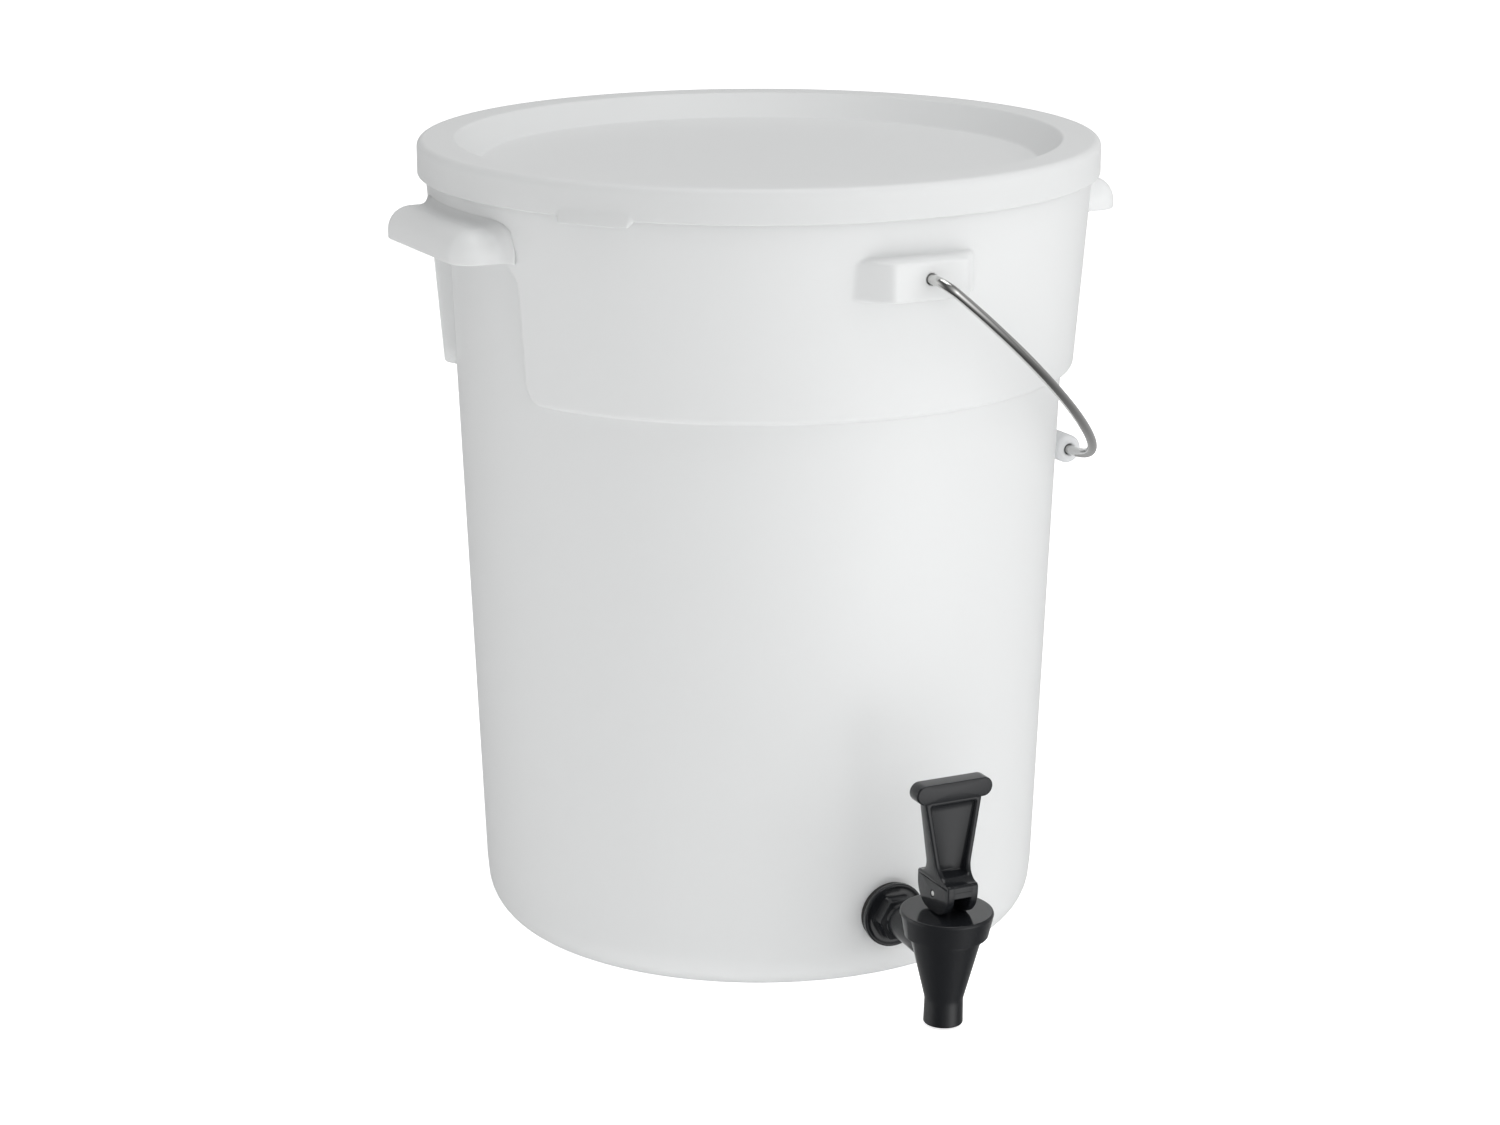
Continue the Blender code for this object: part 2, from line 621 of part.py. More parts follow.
def make_tap_body(shop, frame):
    """Spout, valve chamber, arm, flange and shank in one moulding."""
    outside = [(0.0, COLLAR_HEIGHT), (CHAMBER_RADIUS, COLLAR_HEIGHT),
               (CHAMBER_RADIUS, CHAMBER_HEIGHT), (SPOUT_RADIUS, SPOUT_LENGTH),
               (SPOUT_RADIUS, 0.0), (0.0, 0.0)]
    body = shop.turned("tap_body", outside, TAP_STEPS, kind=TAP_BLACK, parent=frame)

    flange_back = FLANGE_FACE - FLANGE_THICKNESS
    arm = [(0.0, shank_end()), (SHANK_RADIUS, shank_end()), (SHANK_RADIUS, FLANGE_FACE),
           (FLANGE_RADIUS, FLANGE_FACE), (FLANGE_RADIUS, flange_back),
           (ARM_RADIUS, flange_back), (ARM_RADIUS, flange_back - NECK_LENGTH),
           (ARM_ROOT_RADIUS, CHAMBER_RADIUS / 2), (0.0, CHAMBER_RADIUS / 2)]
    along_y = (math.radians(-90), 0, 0)
    level = (0, 0, SHANK_HEIGHT)
    shank = shop.turned("tap_shank_block", arm, TAP_STEPS, parent=frame, location=level,
                        rotation=along_y)
    combine(body, shank, "UNION")
    neck = rod_mesh(NECK_RADIUS, flange_back - NECK_LENGTH, flange_back + FLANGE_THICKNESS / 2,
                    "Y", 6)
    combine(body, shop.solid("tap_neck_block", neck, parent=frame, location=level), "UNION")

    chamber_top = chamber_radius(CHAMBER_HEIGHT) - TAP_WALL
    chamber_low = chamber_radius(SEAT_HEIGHT) - TAP_WALL
    waterway = [(0.0, COLLAR_HEIGHT + OVERCUT), (chamber_top, COLLAR_HEIGHT + OVERCUT),
                (chamber_top, CHAMBER_HEIGHT), (chamber_low, SEAT_HEIGHT),
                (SEAT_BORE, SEAT_HEIGHT), (SEAT_BORE, SEAT_HEIGHT - SEAT_THICKNESS),
                (SPOUT_BORE, SEAT_HEIGHT - SEAT_THICKNESS), (SPOUT_BORE, -OVERCUT), (0.0, -OVERCUT)]
    combine(body, shop.turned("tap_waterway", waterway, TAP_STEPS, parent=frame), "DIFFERENCE")
    bore = rod_mesh(SHANK_BORE, SPOUT_BORE / 2, shank_end() + OVERCUT, "Y", 20)
    combine(body, shop.solid("tap_shank_bore", bore, parent=frame, location=level), "DIFFERENCE")


def make_tap_bonnet(shop, frame):
    """Cap screwed over the chamber's collar."""
    inside = CHAMBER_RADIUS + BONNET_CLEARANCE
    hole = STEM_RADIUS + STEM_CLEARANCE
    plate = COLLAR_HEIGHT + GAP
    profile = [(BONNET_UPPER_RADIUS - BONNET_EDGE, BONNET_TOP),
               (BONNET_UPPER_RADIUS, BONNET_TOP - BONNET_EDGE),
               (BONNET_LOWER_RADIUS, BONNET_BOTTOM), (inside, BONNET_BOTTOM), (inside, plate),
               (hole, plate), (hole, BONNET_TOP)]
    shop.turned("tap_bonnet", profile, TAP_STEPS, ring=True, kind=TAP_BLACK, parent=frame)


def cup_base():
    return SEAT_HEIGHT + GAP


def make_seat_cup(shop, frame):
    """Rubber cup that closes the seat, with a blind hole for the stem."""
    bottom = cup_base()
    top = bottom + CUP_HEIGHT
    socket = STEM_RADIUS + STEM_CLEARANCE
    profile = [(0.0, bottom + CUP_FLOOR), (socket, bottom + CUP_FLOOR), (socket, top),
               (CUP_RADIUS - CUP_BEVEL, top), (CUP_RADIUS, top - CUP_BEVEL),
               (CUP_RADIUS, bottom + CUP_BEVEL), (CUP_RADIUS - CUP_BEVEL, bottom), (0.0, bottom)]
    shop.turned("tap_seat_cup", profile, SMALL_STEPS, kind=RUBBER, parent=frame)


def make_stem(shop, frame):
    """Rod from the seat cup up to the eye that the lever's pin goes through."""
    bottom = cup_base() + CUP_FLOOR + GAP
    profile = [(0.0, PIN_HEIGHT), (STEM_RADIUS, PIN_HEIGHT), (STEM_RADIUS, bottom), (0.0, bottom)]
    stem = shop.turned("tap_stem", profile, SMALL_STEPS, kind=TAP_BLACK, parent=frame)
    level = (0, 0, PIN_HEIGHT)
    eye = rod_mesh(EYE_RADIUS, -EYE_WIDTH / 2, EYE_WIDTH / 2, "X", 16)
    combine(stem, shop.solid("stem_eye", eye, parent=frame, location=level), "UNION")
    hole = rod_mesh(PIN_RADIUS + PIN_CLEARANCE, -EYE_WIDTH, EYE_WIDTH, "X", 12)
    combine(stem, shop.solid("stem_eye_hole", hole, parent=frame, location=level), "DIFFERENCE")


def make_spring(shop, frame):
    """Coil between the seat cup and the bonnet."""
    low = cup_base() + CUP_HEIGHT + GAP + SPRING_WIRE
    high = COLLAR_HEIGHT - SPRING_WIRE
    count = SPRING_TURNS * SPRING_STEPS
    points = []
    for i in range(count + 1):
        angle = 2 * math.pi * i / SPRING_STEPS
        points.append((SPRING_RADIUS * math.cos(angle), SPRING_RADIUS * math.sin(angle),
                       low + (high - low) * i / count))
    spring = shop.wire("tap_spring", points, SPRING_WIRE, kind=STEEL, parent=frame)
    spring.data.shade_smooth()


def make_lever_pin(shop, frame):
    """Pin through the lever's cheeks and the stem's eye."""
    half = LEVER_BLOCK_WIDTH / 2
    pin = rod_mesh(PIN_RADIUS, -half, half, "X", 12)
    shop.solid("tap_lever_pin", pin, kind=STEEL, parent=frame, location=(0, 0, PIN_HEIGHT))


def cam_outline():
    """Side view (y, z) of the lever's block: a flat foot between two involute cams."""
    front = []
    for i in range(CAM_STEPS + 1):
        tilt = math.pi / 2 * i / CAM_STEPS
        reach = LEVER_FOOT + CAM_LIFT * tilt
        front.append((-reach * math.sin(tilt) - CAM_LIFT * math.cos(tilt),
                      -reach * math.cos(tilt) + CAM_LIFT * math.sin(tilt)))
    half_depth = -front[-1][0]
    top = [(-half_depth, LEVER_BLOCK_TOP), (half_depth, LEVER_BLOCK_TOP)]
    back = [(-y, z) for y, z in reversed(front)]
    return front + top + back


def tapered_plate(bottom, top, lower, upper):
    """An upright plate whose (width, thickness) goes from lower to upper."""
    bm = box_mesh((-0.5, -0.5, bottom), (0.5, 0.5, top))
    middle = (bottom + top) / 2
    for vertex in bm.verts:
        width, thickness = upper if vertex.co.z > middle else lower
        vertex.co.x *= width
        vertex.co.y *= thickness
    return bm


def make_lever(shop, frame):
    """Block with cams, paddle with sunk webs, and cross bar; its origin is on the pin."""
    turn = Matrix.Rotation(math.radians(90), 4, "Z") @ Matrix.Rotation(math.radians(90), 4, "X")
    level = (0, 0, PIN_HEIGHT)
    place = {"parent": frame, "location": level}
    lever = shop.outline("tap_lever", cam_outline(), LEVER_BLOCK_WIDTH, turn=turn,
                         kind=TAP_BLACK, **place)

    root = LEVER_BLOCK_TOP - PADDLE_BURY
    paddle = tapered_plate(root, PADDLE_TOP, (PADDLE_LOWER_WIDTH, PADDLE_LOWER_THICKNESS),
                           (PADDLE_UPPER_WIDTH, PADDLE_UPPER_THICKNESS))
    combine(lever, shop.solid("lever_paddle", paddle, **place), "UNION")
    bar = box_mesh((-BAR_LENGTH / 2, -BAR_THICK / 2, BAR_HEIGHT - BAR_TALL / 2),
                   (BAR_LENGTH / 2, BAR_THICK / 2, BAR_HEIGHT + BAR_TALL / 2))
    round_edges(bar, lambda a, b: True, BAR_ROUND, 3)
    combine(lever, shop.solid("lever_bar", bar, **place), "UNION")

    for name, direction in (("front", -1), ("back", 1)):
        web_bottom = LEVER_BLOCK_TOP + PADDLE_FLANGE
        web_top = PADDLE_TOP - PADDLE_FLANGE
        cutter = tapered_plate(web_bottom, web_top,
                               (PADDLE_LOWER_WIDTH - 2 * PADDLE_FLANGE, PADDLE_LOWER_THICKNESS),
                               (PADDLE_UPPER_WIDTH - 2 * PADDLE_FLANGE, PADDLE_LOWER_THICKNESS))
        shift = direction * (PADDLE_LOWER_THICKNESS + WEB_THICKNESS) / 2
        bmesh.ops.translate(cutter, verts=cutter.verts, vec=(0, shift, 0))
        combine(lever, shop.solid("lever_web_" + name, cutter, **place), "DIFFERENCE")

    half_slot = LEVER_SLOT_WIDTH / 2
    deep = LEVER_FOOT * 3
    back_of_slot = STEM_RADIUS + LEVER_SLOT_CLEARANCE
    slot = box_mesh((-half_slot, -deep, -deep), (half_slot, back_of_slot, LEVER_SLOT_TOP))
    combine(lever, shop.solid("lever_slot", slot, **place), "DIFFERENCE")
    room = rod_mesh(EYE_RADIUS + LEVER_SLOT_CLEARANCE, -half_slot, half_slot, "X", 16)
    combine(lever, shop.solid("lever_eye_room", room, **place), "DIFFERENCE")
    hole = rod_mesh(PIN_RADIUS + PIN_CLEARANCE, -LEVER_BLOCK_WIDTH, LEVER_BLOCK_WIDTH, "X", 12)
    combine(lever, shop.solid("lever_pin_hole", hole, **place), "DIFFERENCE")


def wall_cone(shop, name, offset):
    """The pail's tapered wall line as a solid, offset outwards."""
    top = 2 * TAP_AXIS_HEIGHT
    profile = [(0.0, top), (body_radius(top) + offset, top), (body_radius(0.0) + offset, 0.0),
               (0.0, 0.0)]
    return shop.turned(name, profile, BIG_STEPS)


def make_washer(shop, frame, name, start, end, cone, operation):
    """A rubber washer with one flat face and one that follows the pail's wall."""
    level = (0, 0, SHANK_HEIGHT)
    washer = shop.solid(name, rod_mesh(WASHER_RADIUS, start, end, "Y", 24), kind=RUBBER,
                        parent=frame, location=level)
    combine(washer, cone, operation)
    hole = rod_mesh(SHANK_RADIUS + SHANK_CLEARANCE, start - WALL, end + WALL, "Y", 24)
    combine(washer, shop.solid(name + "_hole", hole, parent=frame, location=level), "DIFFERENCE")


def make_tap_seals(shop, frame):
    """The two washers and the lock nut that clamp the tap through the wall."""
    outside = wall_cone(shop, "wall_outside", GAP)
    make_washer(shop, frame, "tap_outer_washer", FLANGE_FACE + GAP,
                TAP_REACH + 2 * washer_sag() + GAP, outside, "DIFFERENCE")
    inside = wall_cone(shop, "wall_inside", -WALL - GAP)
    make_washer(shop, frame, "tap_inner_washer", TAP_REACH, inner_washer_face(), inside,
                "INTERSECT")

    start = inner_washer_face() + GAP
    level = (0, 0, SHANK_HEIGHT)
    nut = shop.solid("tap_lock_nut", rod_mesh(NUT_RADIUS, start, start + NUT_THICKNESS, "Y", 6),
                     kind=TAP_BLACK, parent=frame, location=level)
    hole = rod_mesh(SHANK_RADIUS + SHANK_CLEARANCE, start - WALL, shank_end(), "Y", 24)
    combine(nut, shop.solid("tap_lock_nut_hole", hole, parent=frame, location=level),
            "DIFFERENCE")


def tap_frame_place():
    """Centre of the spout's tip, with the shank square to the wall."""
    across = TAP_REACH * math.cos(LEAN) - SHANK_HEIGHT * math.sin(LEAN)
    down = TAP_REACH * math.sin(LEAN) + SHANK_HEIGHT * math.cos(LEAN)
    return (0, -body_radius(TAP_AXIS_HEIGHT) - across, TAP_AXIS_HEIGHT - down)


def main():
    clear_scene()
    shop = Shop()
    tap_frame = shop.frame("tap_frame", tap_frame_place(), (LEAN, 0, 0))
    pivot = shop.frame("bail_pivot", (0, 0, PIVOT_HEIGHT), (0, bail_rest_angle(), 0))
    make_bucket(shop, tap_frame)
    make_lid(shop)
    make_bail(shop, pivot)
    make_grip(shop, pivot)
    make_tap_body(shop, tap_frame)
    make_tap_bonnet(shop, tap_frame)
    make_seat_cup(shop, tap_frame)
    make_stem(shop, tap_frame)
    make_spring(shop, tap_frame)
    make_lever_pin(shop, tap_frame)
    make_lever(shop, tap_frame)
    make_tap_seals(shop, tap_frame)


main()
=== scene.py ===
import math

import bpy
import numpy as np
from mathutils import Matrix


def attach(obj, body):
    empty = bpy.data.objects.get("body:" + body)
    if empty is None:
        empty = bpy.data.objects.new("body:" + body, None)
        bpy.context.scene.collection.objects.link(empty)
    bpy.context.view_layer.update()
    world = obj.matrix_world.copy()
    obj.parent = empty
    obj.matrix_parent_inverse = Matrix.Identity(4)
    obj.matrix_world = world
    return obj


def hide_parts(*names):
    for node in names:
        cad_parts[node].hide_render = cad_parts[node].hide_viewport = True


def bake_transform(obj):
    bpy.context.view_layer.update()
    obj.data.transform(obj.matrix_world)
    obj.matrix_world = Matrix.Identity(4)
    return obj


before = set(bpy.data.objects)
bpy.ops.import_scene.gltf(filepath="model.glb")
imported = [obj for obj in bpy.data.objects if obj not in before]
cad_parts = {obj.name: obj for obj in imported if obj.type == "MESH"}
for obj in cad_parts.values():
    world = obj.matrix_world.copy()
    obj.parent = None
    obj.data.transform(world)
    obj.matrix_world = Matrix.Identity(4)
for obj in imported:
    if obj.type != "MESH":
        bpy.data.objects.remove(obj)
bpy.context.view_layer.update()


def gridSurface(grid, wrapRows=False, start=None, end=None):
    # Four-sided faces between neighbouring points of a grid (rows, columns, xyz). The columns
    # close on themselves; the first and last rows fan in to the points start and end.
    rows, columns = grid.shape[:2]
    index = np.arange(rows * columns).reshape(rows, columns)
    index = np.concatenate([index, index[:, :1]], axis=1)
    if wrapRows:
        index = np.concatenate([index, index[:1]], axis=0)
    corners = [index[:-1, :-1], index[:-1, 1:], index[1:, 1:], index[1:, :-1]]
    points = [grid.reshape(-1, 3)]
    faces = [np.stack(corners, axis=-1).reshape(-1, 4)]
    tip = rows * columns
    for point, ring, order in ((start, index[0], -1), (end, index[-1], 1)):
        if point is not None:
            points.append(np.reshape(point, (1, 3)))
            fan = np.stack([ring[:-1], ring[1:], np.full(columns, tip)], axis=-1)
            faces.append(fan[:, ::order])
            tip += 1
    return np.concatenate(points), faces


def facingOut(points, faces):
    # A closed surface whose signed volume, the sum of a . (b x c) over its triangles, is
    # negative has its faces turned round.
    volume = 0.0
    for face in faces:
        for second in range(1, face.shape[1] - 1):
            a, b, c = (points[face[:, k]] for k in (0, second, second + 1))
            volume += np.sum(a * np.cross(b, c))
    return [face[:, ::-1] for face in faces] if volume < 0 else faces


def addPiece(name, surfaces, material, body, nodes):
    points, loops, counts, shift = [], [], [], 0
    for vertices, faces in surfaces:
        for face in facingOut(vertices, faces):
            loops.append((face + shift).ravel())
            counts.append(np.full(len(face), face.shape[1]))
        points.append(vertices)
        shift += len(vertices)
    points = np.concatenate(points)
    loops = np.concatenate(loops).astype(np.int32)
    counts = np.concatenate(counts)
    mesh = bpy.data.meshes.new(name)
    mesh.vertices.add(len(points))
    mesh.vertices.foreach_set("co", (points * 0.001).astype(np.float32).ravel())
    mesh.loops.add(len(loops))
    mesh.loops.foreach_set("vertex_index", loops)
    mesh.polygons.add(len(counts))
    mesh.polygons.foreach_set("loop_start", (np.cumsum(counts) - counts).astype(np.int32))
    mesh.update(calc_edges=True)
    mesh.shade_smooth()
    mesh.materials.append(material)
    piece = bpy.data.objects.new(name, mesh)
    bpy.context.scene.collection.objects.link(piece)
    if body is not None:
        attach(piece, body)
    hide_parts(*nodes)
    print("made", name, "with", len(counts), "faces")
    return piece


def rounded(corners, radii, steps=6, support=0.3, closed=False):
    # A line through corners, each rounded by its radius with an arc of a few steps; a straight
    # stretch gets a point near each end so that shading stays flat between the rounds.
    corners = [np.array(c, float) for c in corners]
    if closed:
        corners = [corners[-1]] + corners + [corners[0]]
    points = [] if closed else [corners[0]]
    for before, corner, after, radius in zip(corners, corners[1:], corners[2:], radii):
        into = (corner - before) / np.linalg.norm(corner - before)
        out = (after - corner) / np.linalg.norm(after - corner)
        turn = math.acos(np.clip(into @ out, -1, 1))
        if radius <= 0 or turn < 0.01:
            points.append(corner)
            continue
        start = corner - into * radius * math.tan(turn / 2)
        side = np.array([-into[1], into[0]])
        side = side if side @ out > 0 else -side
        angles = np.linspace(0, turn, steps + 1)[:, None]
        points.extend(start + side * radius * (1 - np.cos(angles)) + into * radius * np.sin(angles))
    points = points + ([points[0]] if closed else [corners[-1]])
    full = [points[0]]
    for a, b in zip(points, points[1:]):
        gap = np.linalg.norm(b - a)
        if gap > 4 * support:
            full += [a + (b - a) * support / gap, b - (b - a) * support / gap]
        full.append(b)
    return np.array(full[:-1] if closed else full)


def turned(profile, steps=96, ring=False, angles=None):
    # Profile (radius, height) turned about Z: x = r cos a, y = r sin a, z = height. A ring's
    # profile closes on itself; another one starts and ends on the axis.
    if angles is None:
        angles = np.linspace(0, 2 * np.pi, steps, endpoint=False)
    rows = profile if ring else profile[1:-1]
    r, z = rows[:, :1], rows[:, 1:]
    grid = np.stack([r * np.cos(angles), r * np.sin(angles), z + 0 * angles], axis=-1)
    if ring:
        return gridSurface(grid, wrapRows=True)
    return gridSurface(grid, start=(0, 0, profile[0][1]), end=(0, 0, profile[-1][1]))


def aboutAxis(surface, axis, centre=(0, 0, 0)):
    # The surface with its Z axis laid along X or Y, then moved to a centre.
    points, faces = surface
    order = [2, 0, 1] if axis == "X" else [1, 2, 0]
    return points[:, order] + np.array(centre, float), faces


def slab(outline, low, high, bevel, centre=None):
    # An outline in (y, z) carried along X from low to high, with bevelled rims: rings of the
    # outline shrunk towards its centre, then a fan on each end face.
    outline = np.asarray(outline)
    centre = outline.mean(axis=0) if centre is None else np.array(centre, float)
    reach = np.linalg.norm(outline - centre, axis=1, keepdims=True)
    rows = []
    turn = np.linspace(0, np.pi / 2, 5)
    ends = [(low, 1 - np.cos(t), 1 - np.sin(t)) for t in turn]
    ends += [(high, np.cos(np.pi / 2 - t) - 1, 1 - np.sin(np.pi / 2 - t)) for t in turn]
    for side, along, inset in ends:
        shrunk = centre + (outline - centre) * (1 - inset * bevel / reach)
        rows.append(np.column_stack([np.full(len(outline), side + along * bevel), shrunk]))
    grid = np.array(rows)
    return gridSurface(grid, start=(low, *centre), end=(high, *centre))


def softMin(a, b, k):
    # The lesser of a and b, rounded where they are within k of each other.
    h = np.maximum(k - np.abs(a - b), 0) / k
    return np.minimum(a, b) - h * h * k / 4


def softMax(a, b, k):
    return -softMin(-a, -b, k)


def smooth(t):
    t = np.clip(t, 0, 1)
    return t * t * (3 - 2 * t)


def stepUp(distance, height, wall, edge):
    # Height gained across an outline: a steep wall, then a quarter round of radius edge.
    rise = (height - edge) * smooth(distance / wall)
    share = np.clip((distance - wall) / edge, 0, 1)
    return rise + np.where(distance > wall, edge * np.sqrt(1 - (1 - share) ** 2), 0)


def gridLines(plain, special, apart):
    # Grid lines from plain that keep clear of the special ones, with those added.
    plain, special = np.asarray(plain), np.asarray(special)
    clear = np.abs(plain[:, None] - special[None]).min(axis=1) > apart
    return np.unique(np.concatenate([plain[clear], special]))


def effectGroup(name, inputs, outputs):
    # An empty shader node group with named inputs and outputs; returns it with its two ends.
    group = bpy.data.node_groups.new(name, "ShaderNodeTree")
    for label, value in inputs.items():
        socket = group.interface.new_socket(label, in_out="INPUT", socket_type="NodeSocketFloat")
        socket.default_value = value
    for label in outputs:
        group.interface.new_socket(label, in_out="OUTPUT", socket_type="NodeSocketFloat")
    return group, group.nodes.new("NodeGroupInput"), group.nodes.new("NodeGroupOutput")


def calculate(tree, operation, *values):
    # A Math node whose inputs are sockets or fixed values; gives its output socket.
    node = tree.nodes.new("ShaderNodeMath")
    node.operation = operation
    for socket, value in zip(node.inputs, values):
        if isinstance(value, (int, float)):
            socket.default_value = value
        else:
            tree.links.new(value, socket)
    return node.outputs[0]


def noise(tree, vector, scale, detail=2.0):
    node = tree.nodes.new("ShaderNodeTexNoise")
    tree.links.new(vector, node.inputs["Vector"])
    if isinstance(scale, (int, float)):
        node.inputs["Scale"].default_value = scale
    else:
        tree.links.new(scale, node.inputs["Scale"])
    node.inputs["Detail"].default_value = detail
    return node.outputs["Fac"]


def mouldedSkinGroup():
    # Skin of moulded plastic: Height = grain noise x Grain Depth + broad noise x Ripple Depth,
    # and Roughness = Roughness + (patch noise - 1/2) x Roughness Spread.
    inputs = {"Grain Scale": 1500.0, "Grain Depth": 0.000004, "Ripple Scale": 14.0,
              "Ripple Depth": 0.0001, "Roughness": 0.4, "Roughness Spread": 0.1}
    group, given, put = effectGroup("mouldedSkin", inputs, ["Roughness", "Height"])
    where = group.nodes.new("ShaderNodeTexCoord").outputs["Object"]
    grain = calculate(group, "MULTIPLY", noise(group, where, given.outputs["Grain Scale"]),
                      given.outputs["Grain Depth"])
    ripple = calculate(group, "MULTIPLY", noise(group, where, given.outputs["Ripple Scale"], 1.0),
                       given.outputs["Ripple Depth"])
    group.links.new(calculate(group, "ADD", grain, ripple), put.inputs["Height"])
    patch = calculate(group, "SUBTRACT", noise(group, where, 40.0, 3.0), 0.5)
    spread = calculate(group, "MULTIPLY", patch, given.outputs["Roughness Spread"])
    group.links.new(calculate(group, "ADD", given.outputs["Roughness"], spread),
                    put.inputs["Roughness"])
    return group


def drawnWireGroup():
    # Drawn wire: fine streaks that run along the wire, from noise on its unbent coordinates
    # squeezed lengthwise, for Roughness and Height.
    inputs = {"Roughness": 0.16, "Roughness Spread": 0.12, "Streak Depth": 0.000004}
    group, given, put = effectGroup("drawnWire", inputs, ["Roughness", "Height"])
    unbent = group.nodes.new("ShaderNodeAttribute")
    unbent.attribute_name = "unbent"
    squeeze = group.nodes.new("ShaderNodeMapping")
    squeeze.inputs["Scale"].default_value = (1.0, 1.0, 0.03)
    group.links.new(unbent.outputs["Vector"], squeeze.inputs["Vector"])
    streak = noise(group, squeeze.outputs["Vector"], 2500.0, 3.0)
    spread = calculate(group, "MULTIPLY", calculate(group, "SUBTRACT", streak, 0.5),
                       given.outputs["Roughness Spread"])
    group.links.new(calculate(group, "ADD", given.outputs["Roughness"], spread),
                    put.inputs["Roughness"])
    group.links.new(calculate(group, "MULTIPLY", streak, given.outputs["Streak Depth"]),
                    put.inputs["Height"])
    return group


def finish(name, group, groupValues, shaderValues):
    # A Principled BSDF with fixed values; the group's Roughness and Height change over it.
    material = bpy.data.materials.new(name)
    material.use_nodes = True
    tree = material.node_tree
    shader = tree.nodes["Principled BSDF"]
    for label, value in shaderValues.items():
        shader.inputs[label].default_value = value
    effect = tree.nodes.new("ShaderNodeGroup")
    effect.node_tree = group
    for label, value in groupValues.items():
        effect.inputs[label].default_value = value
    bump = tree.nodes.new("ShaderNodeBump")
    bump.inputs["Distance"].default_value = 1.0
    tree.links.new(effect.outputs["Roughness"], shader.inputs["Roughness"])
    tree.links.new(effect.outputs["Height"], bump.inputs["Height"])
    tree.links.new(bump.outputs["Normal"], shader.inputs["Normal"])
    return material


mouldedSkin = mouldedSkinGroup()
drawnWire = drawnWireGroup()

pailPlastic = finish("pailPlastic", mouldedSkin,
                     {"Grain Depth": 0.0000015, "Ripple Depth": 0.00012, "Roughness": 0.3,
                      "Roughness Spread": 0.06},
                     {"Base Color": (0.80, 0.81, 0.81, 1), "Specular IOR Level": 0.4,
                      "Subsurface Weight": 0.08, "Subsurface Radius": (1.0, 1.0, 1.0),
                      "Subsurface Scale": 0.004})
lidPlastic = finish("lidPlastic", mouldedSkin,
                    {"Grain Depth": 0.0000015, "Ripple Depth": 0.00008, "Roughness": 0.42,
                     "Roughness Spread": 0.06},
                    {"Base Color": (0.75, 0.76, 0.76, 1), "Specular IOR Level": 0.35,
                     "Subsurface Weight": 0.08, "Subsurface Radius": (1.0, 1.0, 1.0),
                     "Subsurface Scale": 0.004})
gripPlastic = finish("gripPlastic", mouldedSkin,
                     {"Grain Depth": 0.000001, "Ripple Depth": 0.00003, "Roughness": 0.3,
                      "Roughness Spread": 0.05},
                     {"Base Color": (0.72, 0.73, 0.74, 1), "Specular IOR Level": 0.45})
tapPlastic = finish("tapPlastic", mouldedSkin,
                    {"Grain Scale": 2200.0, "Grain Depth": 0.000001, "Ripple Scale": 60.0,
                     "Ripple Depth": 0.00003, "Roughness": 0.17, "Roughness Spread": 0.08},
                    {"Base Color": (0.012, 0.013, 0.015, 1), "Specular IOR Level": 0.5})
washerRubber = finish("washerRubber", mouldedSkin,
                      {"Grain Depth": 0.000008, "Ripple Depth": 0.00002, "Roughness": 0.65,
                       "Roughness Spread": 0.1},
                      {"Base Color": (0.022, 0.022, 0.022, 1)})
wireSteel = finish("wireSteel", drawnWire, {"Roughness": 0.14},
                   {"Base Color": (0.70, 0.70, 0.69, 1), "Metallic": 1.0})
springSteel = finish("springSteel", mouldedSkin,
                     {"Grain Depth": 0.000001, "Ripple Depth": 0.0, "Roughness": 0.24},
                     {"Base Color": (0.70, 0.70, 0.69, 1), "Metallic": 1.0})
print("finishes ready")

pail = {
    "baseRadius": 140.59, "wallSlope": 0.042, "wall": 3.2, "cornerRadius": 24.0,
    "rimTop": 403.0, "rimBottom": 385.0, "rimStep": 0.8, "rimRound": 1.0,
    "bandBottom": 290.7, "bandStep": 6.2, "bandSlope": 0.0815, "bandEdge": 2.2, "bandWall": 1.0,
    # the pockets' sides lie pocketSide degrees from +X and -X
    "pocketHalf": 50.0, "pocketSide": 18.6, "pocketCorner": 12.0, "pocketTop": 373.4,
    "webLow": 350.0, "webHigh": 361.5, "webNarrows": 7.0,
    "bossFace": 177.532, "bossHalfFront": 20.0, "bossHalfBack": 32.0, "bossReach": 14.0,
    "bossLow": 350.0, "bossHigh": 371.0, "bossEdge": 2.2, "bossWall": 0.7,
    "pivotHeight": 361.5, "pivotHole": 2.75, "pivotDepth": 11.0, "pivotRings": 12, "pivotBlock": 1.9,
}


def bodyRadius(z):
    return pail["baseRadius"] + pail["wallSlope"] * z


def bandRadius(z):
    # The band's slope up to the rim, then the rim's own slope.
    band = bodyRadius(pail["bandBottom"]) + pail["bandStep"]
    band = band + pail["bandSlope"] * (np.minimum(z, pail["rimBottom"]) - pail["bandBottom"])
    rim = pail["rimStep"] / (pail["rimTop"] - pail["rimBottom"])
    return band + rim * np.maximum(z - pail["rimBottom"], 0)


